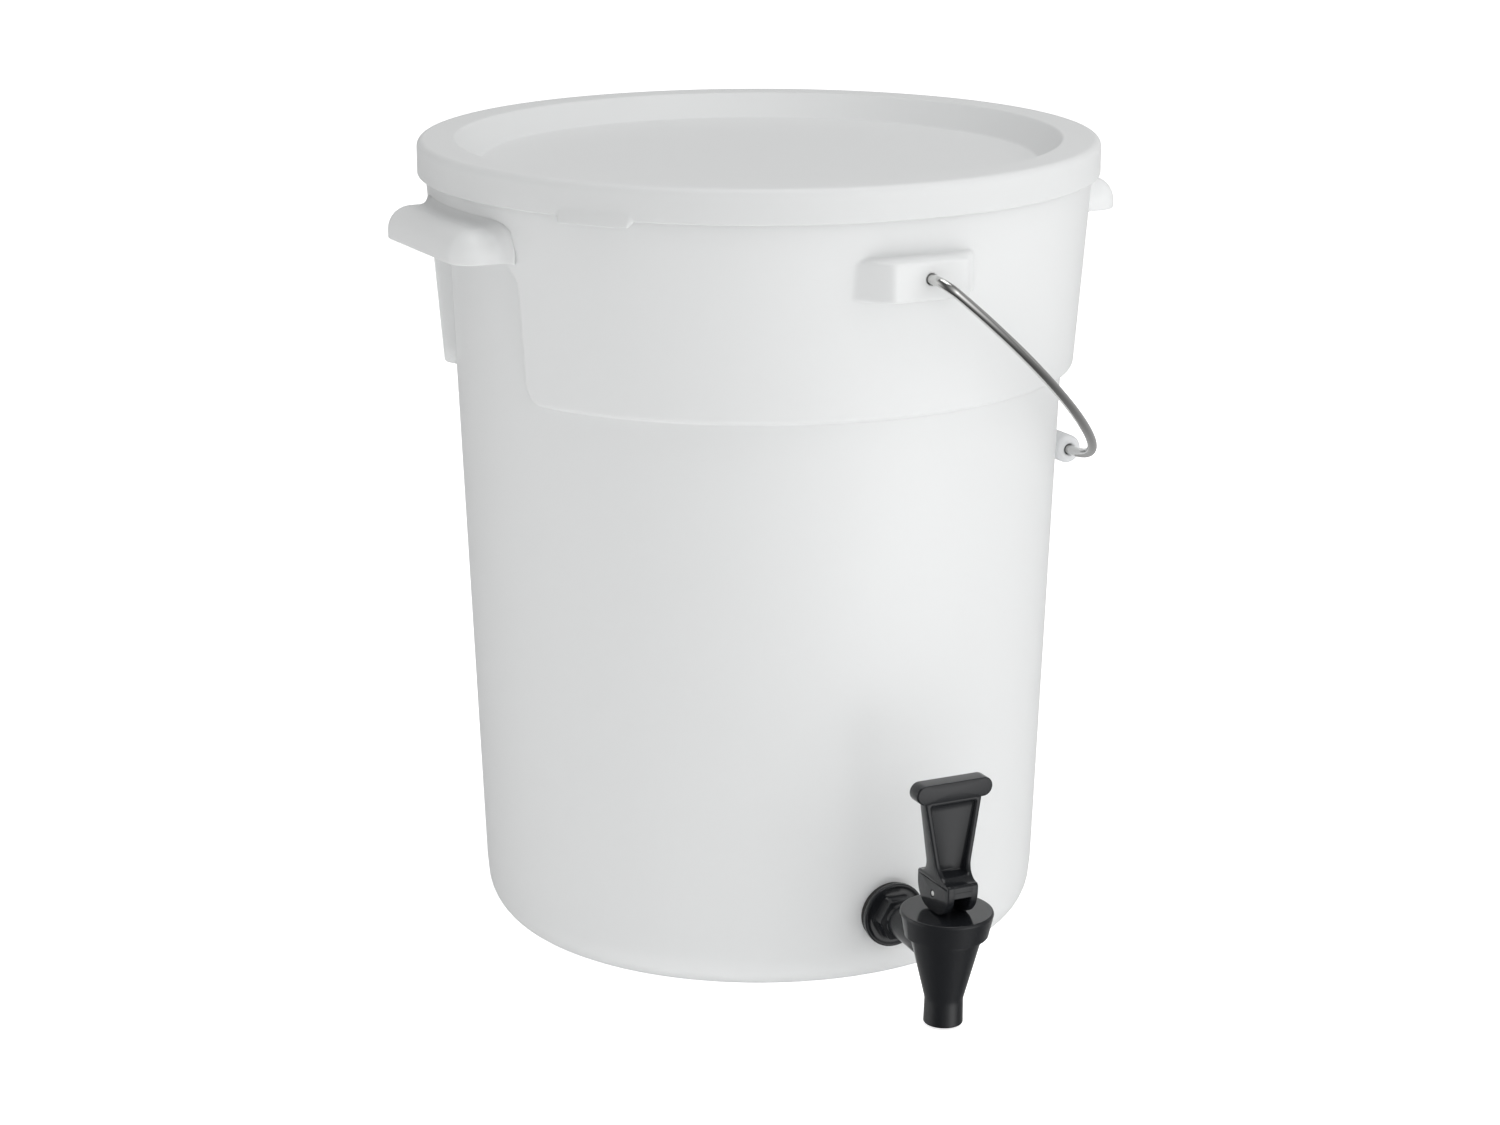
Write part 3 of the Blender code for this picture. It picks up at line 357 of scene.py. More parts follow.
def bandLift(azimuth, z, height, grow, raiseTop):
    # Lift of the band from the tapered wall: its outline is the part above the lower edge, less
    # two finger pockets at +X and -X with round lower corners and narrower tops; the lift
    # climbs across the outline by stepUp. grow sets the inner face's outline back by the wall.
    off = np.abs((azimuth + np.pi / 2) % np.pi - np.pi / 2)
    along = off * bandRadius(pail["bandBottom"])
    web = smooth((z - pail["webLow"]) / (pail["webHigh"] - pail["webLow"]))
    fromSide = along - (pail["pocketHalf"] - pail["webNarrows"] * web + grow)
    fromEdge = z - pail["bandBottom"] - grow
    corner = pail["pocketCorner"]
    a, b = corner - fromSide, corner - fromEdge
    outside = np.hypot(np.maximum(a, 0), np.maximum(b, 0)) + np.minimum(np.maximum(a, b), 0)
    distance = softMax(corner - outside, z - pail["pocketTop"] - raiseTop, 3.0)
    return stepUp(distance, height, pail["bandWall"], pail["bandEdge"])


def bossLift(azimuth, z):
    # Lift of the two bail bosses at +Y and -Y: a flat front and two flat flanks, as polar
    # radii face / cos a and (face + s w) / (cos a + s sin a), between two steep ends.
    off = np.abs(azimuth % np.pi - np.pi / 2)
    atWall = math.sqrt(bandRadius(pail["bossLow"]) ** 2 - pail["bossHalfBack"] ** 2)
    run = pail["bossHalfBack"] - pail["bossHalfFront"]
    flank = (pail["bossFace"] - atWall) / run
    front = pail["bossFace"] / np.cos(off)
    side = (pail["bossFace"] + flank * pail["bossHalfFront"]) / (np.cos(off) + flank * np.sin(off))
    near = off < np.radians(pail["bossReach"])
    plan = np.where(near, softMin(front, side, 2.5), bodyRadius(z)) - bodyRadius(z)
    distance = np.minimum(z - pail["bossLow"], pail["bossHigh"] - z)
    lift = stepUp(distance, np.maximum(plan, pail["bossEdge"]), pail["bossWall"], pail["bossEdge"])
    return np.where(near, lift, 0.0)


def pivotPitch():
    # Spacing of the grid block around a hole, whose half width is pivotBlock x its radius.
    return pail["pivotHole"] * pail["pivotBlock"] / pail["pivotRings"]


def pivotHoles(grid, azimuths, rows, heights):
    # The two blind holes for the bail's ends. A square block of grid points on each boss's flat
    # front is moved ring by ring: the outer rings go from the square to a circle, the next
    # ones down the hole and the inner ones across its floor.
    count, pitch = pail["pivotRings"], pivotPitch()
    hole, depth = pail["pivotHole"], pail["pivotDepth"]
    radius = hole * np.array([0, 0.25, 0.5, 0.76, 0.97, 1, 1, 1, 1.08, 1.2, 1.42, 1.66,
                              pail["pivotBlock"]])
    sunk = np.array([depth] * 5 + [depth - 0.3, depth / 2, 0.4, 0.08] + [0.0] * 4)
    square = np.array([0.0] * 10 + [0.33, 0.67, 1.0])
    middleRow = rows[np.argmin(np.abs(heights[rows] - pail["pivotHeight"]))]
    for direction in (-1, 1):
        middle = np.argmin(np.abs(azimuths - direction * np.pi / 2))
        i, j = np.mgrid[-count:count + 1, -count:count + 1]
        ring = np.maximum(np.abs(i), np.abs(j))
        turn = np.arctan2(i, j)
        keep = square[ring]
        u = radius[ring] * np.cos(turn) * (1 - keep) + pitch * j * keep
        v = radius[ring] * np.sin(turn) * (1 - keep) + pitch * i * keep
        place = np.stack([-direction * u, direction * (pail["bossFace"] - sunk[ring]),
                          pail["pivotHeight"] + v], axis=-1)
        grid[middleRow + i, middle + j] = place


def pailSurface():
    # One closed surface, (azimuth, row) -> (r cos a, r sin a, z): from the middle of the base
    # out, up the outer wall, over the rim and down the inner wall to the middle of the floor.
    ring = pivotPitch() * np.arange(-pail["pivotRings"], pail["pivotRings"] + 1)
    fine = np.concatenate([np.arange(289.9, 304.6, 0.6), np.arange(347.0, 376.2, 0.7)])
    plain = np.concatenate([np.arange(30, 288, 30), fine, np.arange(308, 346, 7), [379, 382, 385]])
    outerZ = gridLines(plain, pail["pivotHeight"] + ring, 0.25)
    innerZ = np.concatenate([[396, 390, 385], np.arange(382, 372, -1), np.arange(370, 346, -3),
                             np.arange(346, 310, -7), np.arange(308, 291, -0.8),
                             np.arange(288, 30, -30)])
    corner, wall, top, over = (pail[k] for k in ("cornerRadius", "wall", "rimTop", "rimRound"))
    lean = math.atan(pail["wallSlope"])
    centre = bodyRadius(corner) - corner * math.hypot(1, pail["wallSlope"])
    bend = np.linspace(-np.pi / 2, -lean, 12)
    lip = np.linspace(0, np.pi / 2, 5)
    mouth = bandRadius(pail["rimBottom"]) - wall
    rim = bandRadius(top)
    base = np.array([40, 80, 105.0])
    # each stretch as (radii, heights, kind), where kind 1 is the outer wall and 2 the inner one
    pieces = [
        (base, np.zeros(3), 0),
        (centre + corner * np.cos(bend), corner + corner * np.sin(bend), 0),
        (bodyRadius(outerZ), outerZ, 1),
        (rim - over + over * np.cos(lip), top - over + over * np.sin(lip), 0),
        (mouth + over - over * np.sin(lip), top - over + over * np.cos(lip), 0),
        (bodyRadius(innerZ) - wall, innerZ, 2),
        (centre + (corner - wall) * np.cos(bend[::-1]),
         corner + (corner - wall) * np.sin(bend[::-1]), 0),
        (base[::-1], np.full(3, wall), 0),
    ]
    radius = np.concatenate([p[0] for p in pieces])
    height = np.concatenate([p[1] for p in pieces])
    kind = np.concatenate([np.full(len(p[0]), p[2]) for p in pieces])

    degrees = [np.arange(0, 360, 2.5)]
    side = pail["pocketSide"]
    for middle in (-side, side, 180 - side, 180 + side):
        degrees.append(middle + np.arange(-4, 4.01, 0.25))
    for side in (90, 270):
        degrees.append(side + np.arange(-13, 13.01, 0.4))
    degrees = np.unique(np.round(np.concatenate(degrees) % 360, 3))
    holes = np.degrees(np.arctan(ring / pail["bossFace"]))
    degrees = gridLines(degrees, np.concatenate([90 + holes, 270 + holes]), 0.09)
    azimuth = np.sort(np.radians((degrees + 180) % 360 - 180))

    r, z = radius[:, None] + 0 * azimuth, height[:, None] + 0 * azimuth
    outer, inner = kind == 1, kind == 2
    full = bandRadius(z[outer]) - bodyRadius(z[outer])
    band = bandLift(azimuth, z[outer], full, 0.0, 0.0)
    r[outer] += softMax(band, bossLift(azimuth, z[outer]), 1.5)
    full = np.minimum(bandRadius(z[inner]), mouth + wall) - bodyRadius(z[inner])
    r[inner] += bandLift(azimuth, z[inner], full, wall, 5.0)
    grid = np.stack([r * np.cos(azimuth), r * np.sin(azimuth), z], axis=-1)
    pivotHoles(grid, azimuth, np.flatnonzero(outer), height)
    return gridSurface(grid, start=(0, 0, 0), end=(0, 0, wall))


handle = {"reach": 184.533, "halfWidth": 49.5, "corner": 13.0, "lip": 361.0, "top": 377.0,
          "wall": 3.6, "topRound": 11.5, "lipRound": 0.9, "root": 156.4, "rootHalf": 36.0,
          "fillet": 6.0}


def handleSurface(direction):
    # A closed profile carried along a U in plan. Each station has a point on the outer edge, a
    # point one rounding further in and a point at the root; the profile goes up the outside,
    # over the rounding, in along the top, and back along the underside to the lip.
    h = handle
    plan = [(h["root"], -h["halfWidth"]), (h["reach"], -h["halfWidth"]),
            (h["reach"], h["halfWidth"]), (h["root"], h["halfWidth"])]
    path = rounded(plan, [h["corner"]] * 2, steps=24)
    length = np.concatenate([[0], np.cumsum(np.linalg.norm(np.diff(path, axis=0), axis=1))])
    even = np.linspace(0, length[-1], 130)
    path = np.column_stack([np.interp(even, length, path[:, k]) for k in (0, 1)])
    tangent = np.gradient(path, axis=0)
    tangent /= np.linalg.norm(tangent, axis=1, keepdims=True)
    inward = np.column_stack([-tangent[:, 1], tangent[:, 0]])
    share = np.linspace(-1, 1, len(path))
    hinge = np.column_stack([np.full(len(path), h["root"]), h["rootHalf"] * share])

    bend = np.linspace(0, np.pi / 2, 9)
    big, small, lip = h["topRound"], h["topRound"] - h["wall"], h["lipRound"]
    under = h["top"] - h["wall"]
    edge = np.linspace(0, np.pi / 2, 4)
    inset = np.concatenate([lip * (1 - np.sin(edge)), [0], big * (1 - np.cos(bend)),
                            np.full(60, big), np.full(12, big), big - small * np.sin(bend[::-1]),
                            [h["wall"]], h["wall"] - lip * (1 - np.cos(edge))])
    level = np.concatenate([h["lip"] + lip * (1 - np.cos(edge)), [h["lip"] + 2],
                            h["top"] - big + big * np.sin(bend), np.full(60, h["top"]),
                            np.full(12, under), h["top"] - big + small * np.cos(bend[::-1]),
                            [h["lip"] + 2], h["lip"] + lip * (1 - np.sin(edge))])
    reachIn = np.concatenate([np.zeros(14), np.linspace(0.02, 1, 60), np.linspace(1, 0.02, 12),
                              np.zeros(14)])[:, None, None]
    flat = path[None] + inward[None] * inset[:, None, None]
    flat = flat * (1 - reachIn) + hinge[None] * reachIn
    z = level[:, None] + np.zeros(len(path))
    beyond = np.linalg.norm(flat, axis=-1) - bandRadius(z)
    # the concave round into the band: fillet x (1 - sqrt(1 - (1 - beyond / fillet)^2))
    near = np.clip(1 - beyond / h["fillet"], 0, 0.96)
    lift = h["fillet"] * (1 - np.sqrt(1 - near ** 2))
    z += lift * (level[:, None] > h["top"] - 6)
    flat[..., 1] *= 1 + lift / h["halfWidth"] * smooth((np.abs(flat[..., 1]) - h["rootHalf"]) / 12)
    x, y = flat[..., 0] * direction, flat[..., 1] * direction
    grid = np.stack([x, y, z], axis=-1).transpose(1, 0, 2)
    return gridSurface(grid, start=grid[0].mean(axis=0), end=grid[-1].mean(axis=0))


addPiece("pailMoulding", [pailSurface()], pailPlastic, "pail", ["bucket", "bucket_band"])
addPiece("rightHandle", [handleSurface(1)], pailPlastic, "pail", ["handle_right"])
addPiece("leftHandle", [handleSurface(-1)], pailPlastic, "pail", ["handle_left"])

cover = {"radius": 170.99, "top": 405.5, "skirtBottom": 388.5, "wall": 2.2, "ring": 19.0,
         "discRadius": 139.99, "discTop": 393.5, "edge": 3.6, "tabAngle": -143.5,
         "tabHalfAngle": 6.4, "tabDrop": 2.8, "tabFlare": 3.0, "tabCorner": 1.0, "tabTop": 393.5,
         "tabTall": 5.0}


def lidSurface():
    # A rounded profile turned about Z. Near the thumb tab the skirt's lower rows are drawn down
    # and out by a share that grows with the square of the way down.
    c = cover
    ringIn = c["radius"] - c["ring"]
    slope = math.atan2(c["top"] - c["discTop"], ringIn - c["discRadius"])
    shift = c["wall"] * math.tan(slope / 2)
    inside = c["radius"] - c["wall"]
    corners = [(0, c["discTop"]), (c["discRadius"], c["discTop"]), (ringIn, c["top"]),
               (c["radius"], c["top"]), (c["radius"], c["skirtBottom"]),
               (inside, c["skirtBottom"]), (inside, c["top"] - c["wall"]),
               (ringIn + shift, c["top"] - c["wall"]),
               (c["discRadius"] + shift, c["discTop"] - c["wall"]), (0, c["discTop"] - c["wall"])]
    radii = [2.6, 2.2, c["edge"], 0.8, 0.8, 1.0, 0.6, 0.8]
    profile = rounded(corners, radii, steps=7)
    # more rows down the skirt, where the tab bends it
    heights = np.linspace(396.5, 390.2, 8)
    outer = np.column_stack([np.full(len(heights), c["radius"]), heights])
    inner = np.column_stack([np.full(len(heights), inside), heights[::-1]])
    down = np.flatnonzero((profile[:, 0] > c["radius"] - 0.01) & (profile[:, 1] > 397))[-1] + 1
    profile = np.insert(profile, down, outer, axis=0)
    up = np.flatnonzero((np.abs(profile[:, 0] - inside) < 0.01) & (profile[:, 1] < 390))[-1] + 1
    profile = np.insert(profile, up, inner, axis=0)
    spread = np.arange(-11, 11.01, 0.2) + c["tabAngle"]
    degrees = gridLines(np.arange(-180, 180, 1.2), spread, 0.15)
    angles = np.radians(degrees)
    points, faces = turned(profile, angles=angles)
    off = np.abs(np.degrees(np.arctan2(points[:, 1], points[:, 0])) - c["tabAngle"])
    share = smooth((c["tabHalfAngle"] - off) / c["tabCorner"] + 0.5)
    radius = np.hypot(points[:, 0], points[:, 1])
    low = np.clip((c["tabTop"] - points[:, 2]) / c["tabTall"], 0, 1) ** 2
    amount = share * low * (radius > inside - 0.5)
    scale = 1 + amount * c["tabFlare"] / np.maximum(radius, 1)
    points[:, 0] *= scale
    points[:, 1] *= scale
    points[:, 2] -= amount * c["tabDrop"]
    return points, faces


addPiece("lidMoulding", [lidSurface()], lidPlastic, "lid", ["lid"])

bail = {"reach": 202.033, "halfWidth": 190.032, "straight": 48.0, "fullness": 1.6, "bend": 7.5,
        "end": 167.032, "wire": 4.8, "endBevel": 0.4, "gripLength": 90.0, "gripDiameter": 14.8,
        "gripRound": 2.6, "gripBore": 5.5, "restGap": 0.4}


def pivotPlace(points):
    # From the bail's own plane, with its pivot along Y, to the pail: turned down to its rest.
    stand = (bail["gripDiameter"] / 2 + bail["restGap"]) * math.hypot(1, pail["wallSlope"])
    lean = math.atan(pail["wallSlope"])
    need = bodyRadius(pail["pivotHeight"]) + stand
    angle = math.acos(need / (bail["reach"] * math.hypot(1, pail["wallSlope"]))) + lean
    c, s = math.cos(angle), math.sin(angle)
    x, y, z = points[..., 0], points[..., 1], points[..., 2]
    return np.stack([x * c + z * s, y, pail["pivotHeight"] - x * s + z * c], axis=-1)


def bailPath():
    # Half of a superellipse from the straight middle to the side, a quarter bend and a straight
    # end into the boss; the other half is its mirror image.
    power = 2 / bail["fullness"]
    last = math.acos((bail["bend"] / bail["reach"]) ** (bail["fullness"] / 2))
    a = last * (1 - (1 - np.linspace(0, 1, 110)) ** 1.3)
    reach = bail["reach"] * np.cos(a) ** power
    side = bail["straight"] + (bail["halfWidth"] - bail["straight"]) * np.sin(a) ** power
    b = np.linspace(0, np.pi / 2, 13)[1:]
    bendReach = reach[-1] - bail["bend"] * np.sin(b)
    bendSide = side[-1] - bail["bend"] * (1 - np.cos(b))
    tail = np.linspace(bendSide[-1], bail["end"], 6)[1:]
    half = np.column_stack([np.concatenate([reach, bendReach, np.zeros(5)]),
                            np.concatenate([side, bendSide, tail])])
    inner = bail["straight"] - 8
    middle = np.column_stack([np.full(5, bail["reach"]), np.linspace(-inner, inner, 5)])
    return np.concatenate([half[::-1] * [1, -1], middle, half])


def wireSurface(path, radius, bevel):
    # Circles about a flat path: path + r (normal cos a + up sin a); the first and last circles
    # are bevelled. Also gives the unbent coordinates (r cos a, r sin a, length) of each point.
    tangent = np.gradient(path, axis=0)
    tangent /= np.linalg.norm(tangent, axis=1, keepdims=True)
    normal = np.column_stack([tangent[:, 1], -tangent[:, 0]])
    length = np.concatenate([[0], np.cumsum(np.linalg.norm(np.diff(path, axis=0), axis=1))])
    size = np.full(len(path), radius)
    size[[0, -1]] -= bevel
    path = np.insert(path, [1, len(path) - 1], [path[0] + tangent[0] * bevel,
                                                path[-1] - tangent[-1] * bevel], axis=0)
    normal = np.insert(normal, [1, len(normal) - 1], [normal[0], normal[-1]], axis=0)
    size = np.insert(size, [1, len(size) - 1], radius)
    length = np.insert(length, [1, len(length) - 1], [length[0] + bevel, length[-1] - bevel])
    a = np.linspace(0, 2 * np.pi, 28, endpoint=False)
    across, up = size[:, None] * np.cos(a), size[:, None] * np.sin(a)
    grid = np.stack([path[:, :1] + across * normal[:, :1], path[:, 1:] + across * normal[:, 1:],
                     up], axis=-1)
    unbent = np.stack([across, up, length[:, None] + 0 * a], axis=-1).reshape(-1, 3)
    ends = [(*path[0], 0), (*path[-1], 0)]
    points, faces = gridSurface(grid, start=ends[0], end=ends[1])
    return (pivotPlace(points), faces), np.concatenate([unbent, [[0, 0, 0], [0, 0, length[-1]]]])


wireForm, unbentPlaces = wireSurface(bailPath(), bail["wire"] / 2, bail["endBevel"])
wirePiece = addPiece("bailWire", [wireForm], wireSteel, "bail", ["bail_wire"])
unbentLayer = wirePiece.data.attributes.new("unbent", "FLOAT_VECTOR", "POINT")
unbentLayer.data.foreach_set("vector", (unbentPlaces * 0.001).astype(np.float32).ravel())


def gripSurface():
    # A tube with rounded ends and a bore countersunk at both of them, turned about the wire.
    half, outer, bore = bail["gripLength"] / 2, bail["gripDiameter"] / 2, bail["gripBore"] / 2
    corners = [(bore, half - 0.8), (bore + 0.8, half), (outer, half), (outer, -half),
               (bore + 0.8, -half), (bore, -half + 0.8)]
    profile = rounded(corners, [0.2, 0.4, bail["gripRound"], bail["gripRound"], 0.4, 0.2],
                      closed=True)
    points, faces = aboutAxis(turned(profile, 64, ring=True), "Y", (bail["reach"], 0, 0))
    return pivotPlace(points), faces


addPiece("bailGrip", [gripSurface()], gripPlastic, "grip", ["bail_grip"])

tap = {
    "tableGap": 0.8, "reach": 56.0, "axisHeight": 36.0, "spoutRadius": 9.6, "spoutBore": 7.4,
    "spoutWaist": 9.35, "spoutLength": 12.7, "chamberRadius": 17.2, "chamberHeight": 43.8,
    "collarTop": 54.5, "seat": 23.0, "seatThickness": 2.5, "seatBore": 5.0, "wall": 3.2,
    "armRadius": 8.5, "armBulge": 2.2, "flangeRadius": 16.3, "flangeThickness": 3.0,
    "flangeFace": 52.9, "neckRadius": 11.5, "neckLength": 6.0, "shankRadius": 8.0,
    "shankBore": 5.5, "shankEnd": 75.147, "bonnetBottom": 45.4, "bonnetTop": 57.9,
    "bonnetLow": 20.3, "bonnetHigh": 22.7, "pinHeight": 67.3, "washerRadius": 15.5,
    "washerThickness": 2.5, "nutRadius": 15.0, "nutThickness": 8.0, "hole": 8.3, "gap": 0.3,
    "shankHeight": 39.52, "armStart": 12.8, "collarGap": 0.4, "stemHole": 3.4,
}


def tapPlace(surface):
    # From the tap's leaning frame, whose origin is the middle of the spout's tip, to the pail.
    points, faces = surface
    lean = math.atan(pail["wallSlope"])
    c, s = math.cos(lean), math.sin(lean)
    level = tap["tableGap"] + (tap["reach"] + tap["spoutRadius"]) * s + tap["axisHeight"] * c
    tip = np.array([0, -bodyRadius(level) - tap["reach"] * c + tap["axisHeight"] * s,
                    level - tap["reach"] * s - tap["axisHeight"] * c])
    x, y, z = points.T
    return np.column_stack([x, y * c - z * s, y * s + z * c]) + tip, faces


def wallSag(x, radius):
    return radius - np.sqrt(radius ** 2 - x ** 2)


def hexReach(angle, across, corner):
    # Polar radius of a hexagon with its corners eased.
    fold = (angle + np.pi / 6) % (np.pi / 3) - np.pi / 6
    return softMin(across * math.cos(np.pi / 6) / np.cos(fold), across * (1 - corner) + 0 * fold, 0.4)


def tapBodySurfaces():
    # The chamber and spout are turned about the stem. The arm, hexagon neck, flange and shank
    # are one tube along Y whose radius changes with both the angle and the place along it.
    t = tap
    low = (t["seat"] - t["spoutLength"]) / (t["chamberHeight"] - t["spoutLength"])
    seatIn = t["spoutRadius"] + (t["chamberRadius"] - t["spoutRadius"]) * low - t["wall"]
    topIn = t["chamberRadius"] - t["wall"]
    under = t["seat"] - t["seatThickness"]
    outline = [(topIn, t["collarTop"]), (t["chamberRadius"], t["collarTop"]),
               (t["chamberRadius"], t["chamberHeight"]), (t["spoutWaist"], t["spoutLength"]),
               (t["spoutRadius"], 0), (t["spoutBore"], 0), (t["spoutBore"], under),
               (t["seatBore"], under), (t["seatBore"], t["seat"]), (seatIn, t["seat"]),
               (topIn, t["chamberHeight"])]
    chamber = turned(rounded(outline, [0.4, 0.4, 6, 10, 0.7, 0.5, 0.5, 0.3, 0.3, 1, 2],
                             closed=True), 96, ring=True)

    angle = np.linspace(0, 2 * np.pi, 120, endpoint=False)
    back = t["flangeFace"] - t["flangeThickness"]
    neck = back - t["neckLength"]
    armY = np.linspace(t["armStart"], neck - 0.4, 14)
    share = (neck - armY) / (neck - t["armStart"])
    bulge = t["armBulge"] * share[:, None] ** 2 * np.maximum(np.cos(angle), 0) ** 2
    rings = [(y, t["armRadius"] + b) for y, b in zip(armY, bulge)]
    hexagon = hexReach(angle, t["neckRadius"], 0.02)
    rings += [(neck, t["armRadius"] + 0.3 + 0 * angle), (neck, hexagon - 0.6),
              (neck + 0.25, hexagon - 0.15), (neck + 0.7, hexagon), (back + 0.4, hexagon),
              (back + 0.6, hexagon + 0.5)]
    rim = t["flangeRadius"]
    dish = [(rim - 2.7, back + 0.9), (rim - 1.7, back + 0.55), (rim - 1.0, back),
            (rim - 0.4, back + 0.12), (rim - 0.1, back + 0.5), (rim, back + 1.0),
            (rim, t["flangeFace"] - 0.4), (rim - 0.4, t["flangeFace"])]
    shank = [(t["shankRadius"], t["flangeFace"]), (t["shankRadius"], t["shankEnd"] - 0.8),
             (t["shankRadius"] - 0.8, t["shankEnd"]), (t["shankBore"], t["shankEnd"]),
             (t["shankBore"], t["armStart"] + 0.1)]
    rings += [(y, r + 0 * angle) for r, y in dish + shank]
    radius = np.array([r for y, r in rings])
    along = np.array([y for y, r in rings])[:, None] + 0 * angle
    # angle 0 points down, so that the bulge lies under the arm
    grid = np.stack([radius * np.sin(angle), along, t["axisHeight"] - radius * np.cos(angle)],
                    axis=-1)
    arm = gridSurface(grid, wrapRows=True)
    return [tapPlace(chamber), tapPlace(arm)]


def bonnetSurface():
    # A tapered cap with a flat top, turned; its skirt goes round the collar.
    t = tap
    inside, hole = t["chamberRadius"] + t["collarGap"], t["stemHole"]
    plate = t["collarTop"] + t["gap"]
    corners = [(hole, t["bonnetTop"]), (t["bonnetHigh"] - 0.5, t["bonnetTop"]),
               (t["bonnetHigh"], t["bonnetTop"] - 1.3), (t["bonnetLow"], t["bonnetBottom"]),
               (inside, t["bonnetBottom"]), (inside, plate), (hole, plate)]
    return tapPlace(turned(rounded(corners, [0.3, 0.7, 0.7, 0.6, 0.3, 0.3, 0.3], closed=True),
                           128, ring=True))


def washerSurface(front, back, outer, hole, edge, frontBend=0.0, backBend=0.0, across=None):
    # A disc with a hole along Y. A face whose bend isn't zero follows the pail's wall, whose
    # radius that is; across is the polar radius of the outside where it isn't round.
    angle = np.linspace(0, 2 * np.pi, 96, endpoint=False)
    outer = outer + 0 * angle if across is None else across(angle)
    rows = [(hole, front, 0), (outer - edge, front, 0), (outer, front + edge, 0),
            (outer, back - edge, 1), (outer - edge, back, 1), (hole + 0 * angle, back, 1)]
    grid = []
    for radius, y, isBack in rows:
        radius = radius + 0 * angle
        x = radius * np.sin(angle)
        bend = backBend if isBack else frontBend
        sag = wallSag(x, bend) if bend else 0 * x
        grid.append(np.column_stack([x, y + sag, tap["axisHeight"] - radius * np.cos(angle)]))
    return tapPlace(gridSurface(np.array(grid), wrapRows=True))


wallOut = bodyRadius(tap["shankHeight"])
wallIn = wallOut - pail["wall"]
innerStart = tap["reach"] + pail["wall"] + tap["gap"]
innerFlat = innerStart + wallSag(tap["washerRadius"], wallOut) + tap["washerThickness"]
addPiece("tapBody", tapBodySurfaces(), tapPlastic, "pail", ["tap_body"])
addPiece("tapBonnet", [bonnetSurface()], tapPlastic, "pail", ["tap_bonnet"])
addPiece("outerWasher", [washerSurface(tap["flangeFace"] + tap["gap"], tap["reach"] - tap["gap"],
                                       tap["washerRadius"], tap["hole"], 0.3, backBend=wallOut)],
         washerRubber, "pail", ["tap_outer_washer"])
addPiece("innerWasher", [washerSurface(innerStart, innerFlat, tap["washerRadius"], tap["hole"],
                                       0.3, frontBend=wallIn)],
         washerRubber, "pail", ["tap_inner_washer"])
addPiece("lockNut", [washerSurface(innerFlat + tap["gap"],
                                   innerFlat + tap["gap"] + tap["nutThickness"], 0.0, tap["hole"],
                                   0.8, across=lambda a: hexReach(a, tap["nutRadius"], 0.03))],
         tapPlastic, "pail", ["tap_lock_nut"])

coil = {"radius": 6.0, "wire": 0.8, "turns": 5, "low": 32.6, "high": 53.7}


def coilSurface():
    # A tube along a helix: (R + r cos b) (cos a, sin a) and rise x a + r sin b, with the ends
    # closed.
    c = coil
    a = np.linspace(0, 2 * np.pi * c["turns"], 36 * c["turns"] + 1)[:, None]
    b = np.linspace(0, 2 * np.pi, 12, endpoint=False)
    middle = c["low"] + (c["high"] - c["low"]) * a / a[-1]
    out = c["radius"] + c["wire"] * np.cos(b)
    grid = np.stack([out * np.cos(a), out * np.sin(a), middle + c["wire"] * np.sin(b)], axis=-1)
    return tapPlace(gridSurface(grid, start=grid[0].mean(axis=0), end=grid[-1].mean(axis=0)))


stem = {"radius": 3.0, "bottom": 27.0, "eyeRadius": 3.6, "eyeWidth": 6.0, "pinRadius": 1.5,
        "pinHole": 1.8}


def stemSurfaces():
    # A rod up to the eye, and the eye as a short tube across it.
    top = tap["pinHeight"] - stem["eyeRadius"] + 0.8
    rod = turned(rounded([(0, top), (stem["radius"], top), (stem["radius"], stem["bottom"]),
                          (0, stem["bottom"])], [0, 0.3]), 48)
    half = stem["eyeWidth"] / 2
    ring = rounded([(stem["pinHole"], half), (stem["eyeRadius"], half), (stem["eyeRadius"], -half),
                    (stem["pinHole"], -half)], [0.2] * 4, closed=True, steps=3)
    eye = aboutAxis(turned(ring, 48, ring=True), "X", (0, 0, tap["pinHeight"]))
    return [tapPlace(rod), tapPlace(eye)]


def pinSurface(halfLength):
    ends = rounded([(0, halfLength), (stem["pinRadius"], halfLength),
                    (stem["pinRadius"], -halfLength), (0, -halfLength)], [0.35, 0.35], steps=3)
    return tapPlace(aboutAxis(turned(ends, 32), "X", (0, 0, tap["pinHeight"])))


lever = {
    # within is how far what joins the two plates stays inside their outline
    "foot": 9.0, "lift": 3.82, "edge": 0.6, "within": 0.06, "blockHalf": 8.2, "blockTop": 8.0,
    "slotHalf": 4.35, "slotTop": 1.6, "slotDeep": 4.35, "slotRoof": 4.4, "paddleTop": 48.5,
    "lowWidth": 16.5, "highWidth": 31.0, "lowThick": 10.7, "highThick": 6.2, "rib": 2.6,
    "web": 2.6, "flare": 9.0, "barHeight": 52.1, "barHalf": 20.5, "barTall": 4.75,
    "barThick": 4.25, "barEdge": 0.9,
}


def camLine(count):
    # One cam, from straight under the pin to level with it: the involute of a circle, whose
    # distance below the pin is foot + lift x tilt at each tilt.
    tilt = np.linspace(0, np.pi / 2, count)
    reach = lever["foot"] + lever["lift"] * tilt
    return np.column_stack([reach * np.sin(tilt) + lever["lift"] * np.cos(tilt),
                            -reach * np.cos(tilt) + lever["lift"] * np.sin(tilt)])


